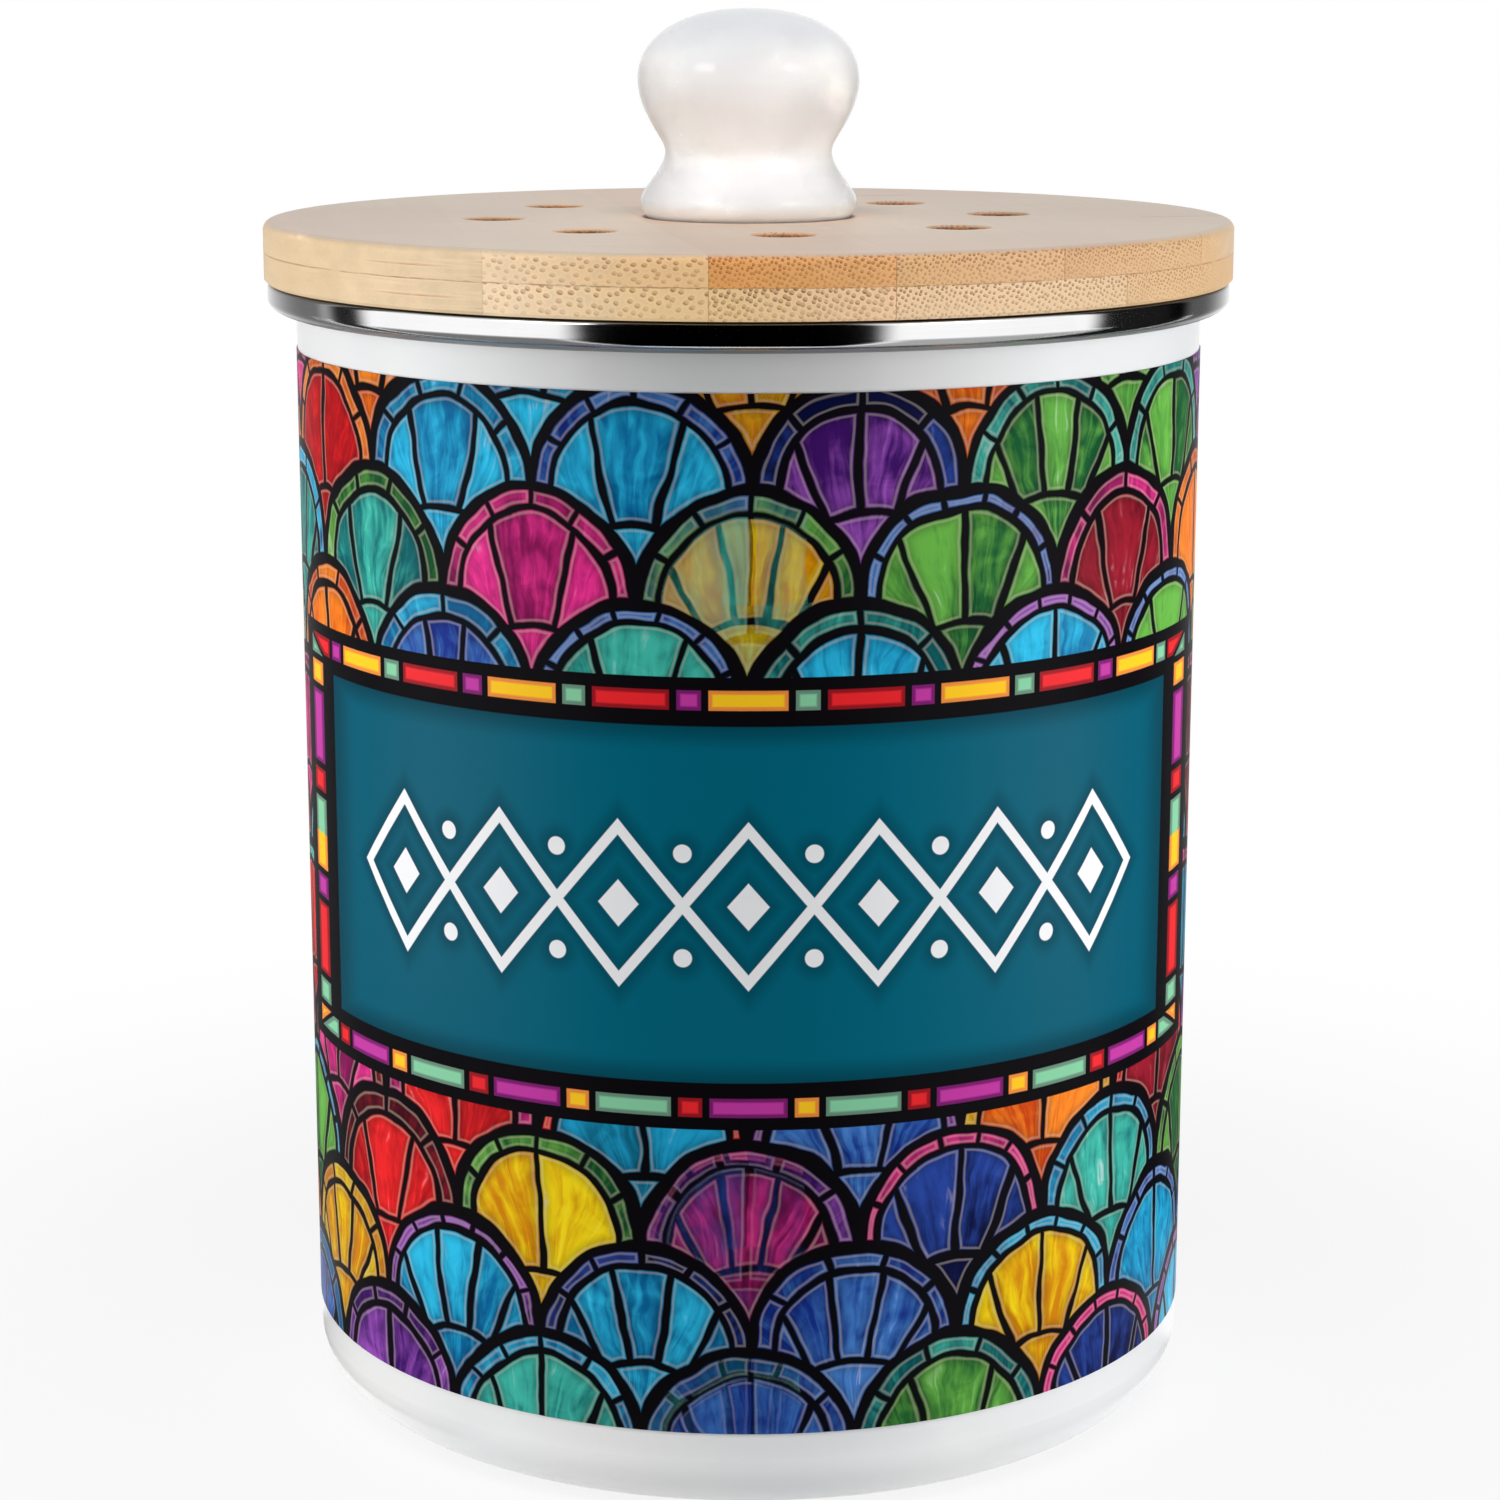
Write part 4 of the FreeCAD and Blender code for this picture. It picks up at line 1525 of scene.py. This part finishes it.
@dataclass
class Studio:
    """A pale floor, soft lamps, black cards for the rim to mirror and a white surround."""

    floor_radius: float = 7.0
    white_reach: float = 260.0
    paper: Tint = screen(212, 212, 212)
    seen_paper: Tint = screen(226, 226, 226)
    far_paper: Tint = screen(50, 50, 50)
    near_glow: float = 0.86
    glow_reach: tuple[float, float] = (110.0, 320.0)
    surround_light: float = 0.16

    def build(self) -> None:
        """Adds everything that isn't part of the object."""
        self.add_floor()
        for thing in self.cards() + self.lamps():
            thing.build()
        self.set_surround()
        bpy.context.scene.view_settings.view_transform = "Standard"

    def cards(self) -> tuple[Card, ...]:
        """Lists the cards.

        Returns:
            A card in front, and to each side a strip, a card and a grey one behind it.
        """
        return (
            Card("front_card", -43.0, 34.0, 0.1),
            Card("left_card", -122.0, -95.0, 0.12, 0.985, soft=(14.0, 7.0)),
            Card("left_grey_card", -180.0, -112.0, 0.12, 0.84, soft=(55.0, 7.0)),
            Card("left_strip", -100.0, -38.0, 0.08, 0.82, wall=False),
            Card("right_strip", 30.0, 90.0, 0.08, 0.6, wall=False),
            Card("right_card", 82.0, 126.0, 0.12, 0.99),
            Card("right_grey_card", 110.0, 172.0, 0.12, 0.9, soft=(7.0, 42.0)),
        )

    def lamps(self) -> tuple[Lamp, ...]:
        """Lists the lamps.

        Returns:
            Three to each side, one high in front, and five for the knob.
        """
        side, wash, low = (0.9, 0.7), (0.5, 0.4), (0.35, 0.09)
        high, dot, window = (0.9, 0.5), (0.02, 0.02), (0.35, 0.3)
        return (
            Lamp("left_box", -82.0, 1.15, 0.36, side, 5.2),
            Lamp("right_box", 77.0, 1.15, 0.36, side, 5.5),
            Lamp("left_wash", -74.0, 0.5, 0.02, wash, 1.6, upwards=True),
            Lamp("right_wash", 72.0, 0.5, 0.02, wash, 1.6, upwards=True),
            Lamp("left_low_box", -76.0, 0.45, 0.05, low, 0.56, aim=0.03),
            Lamp("right_low_box", 74.0, 0.45, 0.05, low, 0.6, aim=0.03),
            Lamp("front_high_box", -2.0, 0.62, 1.4, high, 10.6),
            Lamp("knob_snoot", 0.0, 1.0, 0.3, dot, 0.0006, aim=0.223, spread=2.1),
            Lamp("left_snoot", -60.0, 1.0, 0.3, dot, 0.0009, aim=0.219, spread=2.1),
            Lamp("right_snoot", 60.0, 1.0, 0.3, dot, 0.0009, aim=0.219, spread=2.1),
            Lamp("left_window", -48.0, 1.0, 0.66, window, 1.3, aim=0.22, only_mirrored=True),
            Lamp("right_window", 48.0, 1.0, 0.66, window, 1.3, aim=0.22, only_mirrored=True),
        )

    @staticmethod
    def rays(graph: Graph) -> tuple[Amount, Amount, Amount]:
        """Tells the rays apart.

        Args:
            graph: The graph.

        Returns:
            1 for the camera's rays, 1 for mirrored ones, and 1 for these two and those through glass.
        """
        camera = graph.node("LightPath", {}, {}, "Is Camera Ray")
        mirror = camera.also("Is Glossy Ray")
        return camera, mirror, camera.most(mirror).most(camera.also("Is Transmission Ray"))

    def add_floor(self) -> None:
        """Adds a floor that takes the object's shadow and is see-through from below."""
        select_none()
        bpy.ops.mesh.primitive_circle_add(vertices=96, radius=self.floor_radius, fill_type="NGON")
        floor = bpy.context.active_object
        floor.name = "floor"
        made, graph = new_material("floor_paper")
        away = Place(graph).radius
        camera, mirror, seen = self.rays(graph)
        dim = away.fade(self.white_reach, self.white_reach * 2.0) * (1.0 - camera)
        near = graph.mix(camera, self.paper, self.seen_paper)
        paper = graph.node("BsdfDiffuse", {}, {"Color": graph.mix(dim, near, self.far_paper)})
        lit = graph.node("Emission", {}, {"Color": (1.0, 1.0, 1.0, 1.0), "Strength": 1.0})
        paler = mirror.most(self.near_glow + away.fade(*self.glow_reach) * (1.0 - self.near_glow))
        top = graph.node("MixShader", {}, {0: seen * paler, 1: paper, 2: lit})
        below = graph.node("NewGeometry", {}, {}, "Backfacing")
        clear = graph.node("BsdfTransparent", {}, {})
        both = graph.node("MixShader", {}, {0: below, 1: top, 2: clear})
        graph.node("OutputMaterial", {}, {"Surface": both})
        floor.data.materials.append(made)

    def set_surround(self) -> None:
        """Sets a surround that is white where it is seen and a soft grey where it lights."""
        world = bpy.context.scene.world or bpy.data.worlds.new("surround")
        bpy.context.scene.world = world
        world.use_nodes = True
        graph = Graph(world.node_tree)
        _, _, seen = self.rays(graph)
        strength = self.surround_light + seen * (1.0 - self.surround_light)
        back = graph.node("Background", {}, {"Color": (1.0, 1.0, 1.0, 1.0), "Strength": strength})
        graph.node("OutputWorld", {}, {"Surface": back})


def main() -> None:
    """Dresses and models the caddy, then sets it in the studio."""
    logging.basicConfig(level=logging.INFO, format="%(name)s: %(message)s")
    Camera().build()
    Canister().build()
    Lid().build()
    Hardware().build()
    Studio().build()
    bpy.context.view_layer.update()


if __name__ == "__main__":
    main()
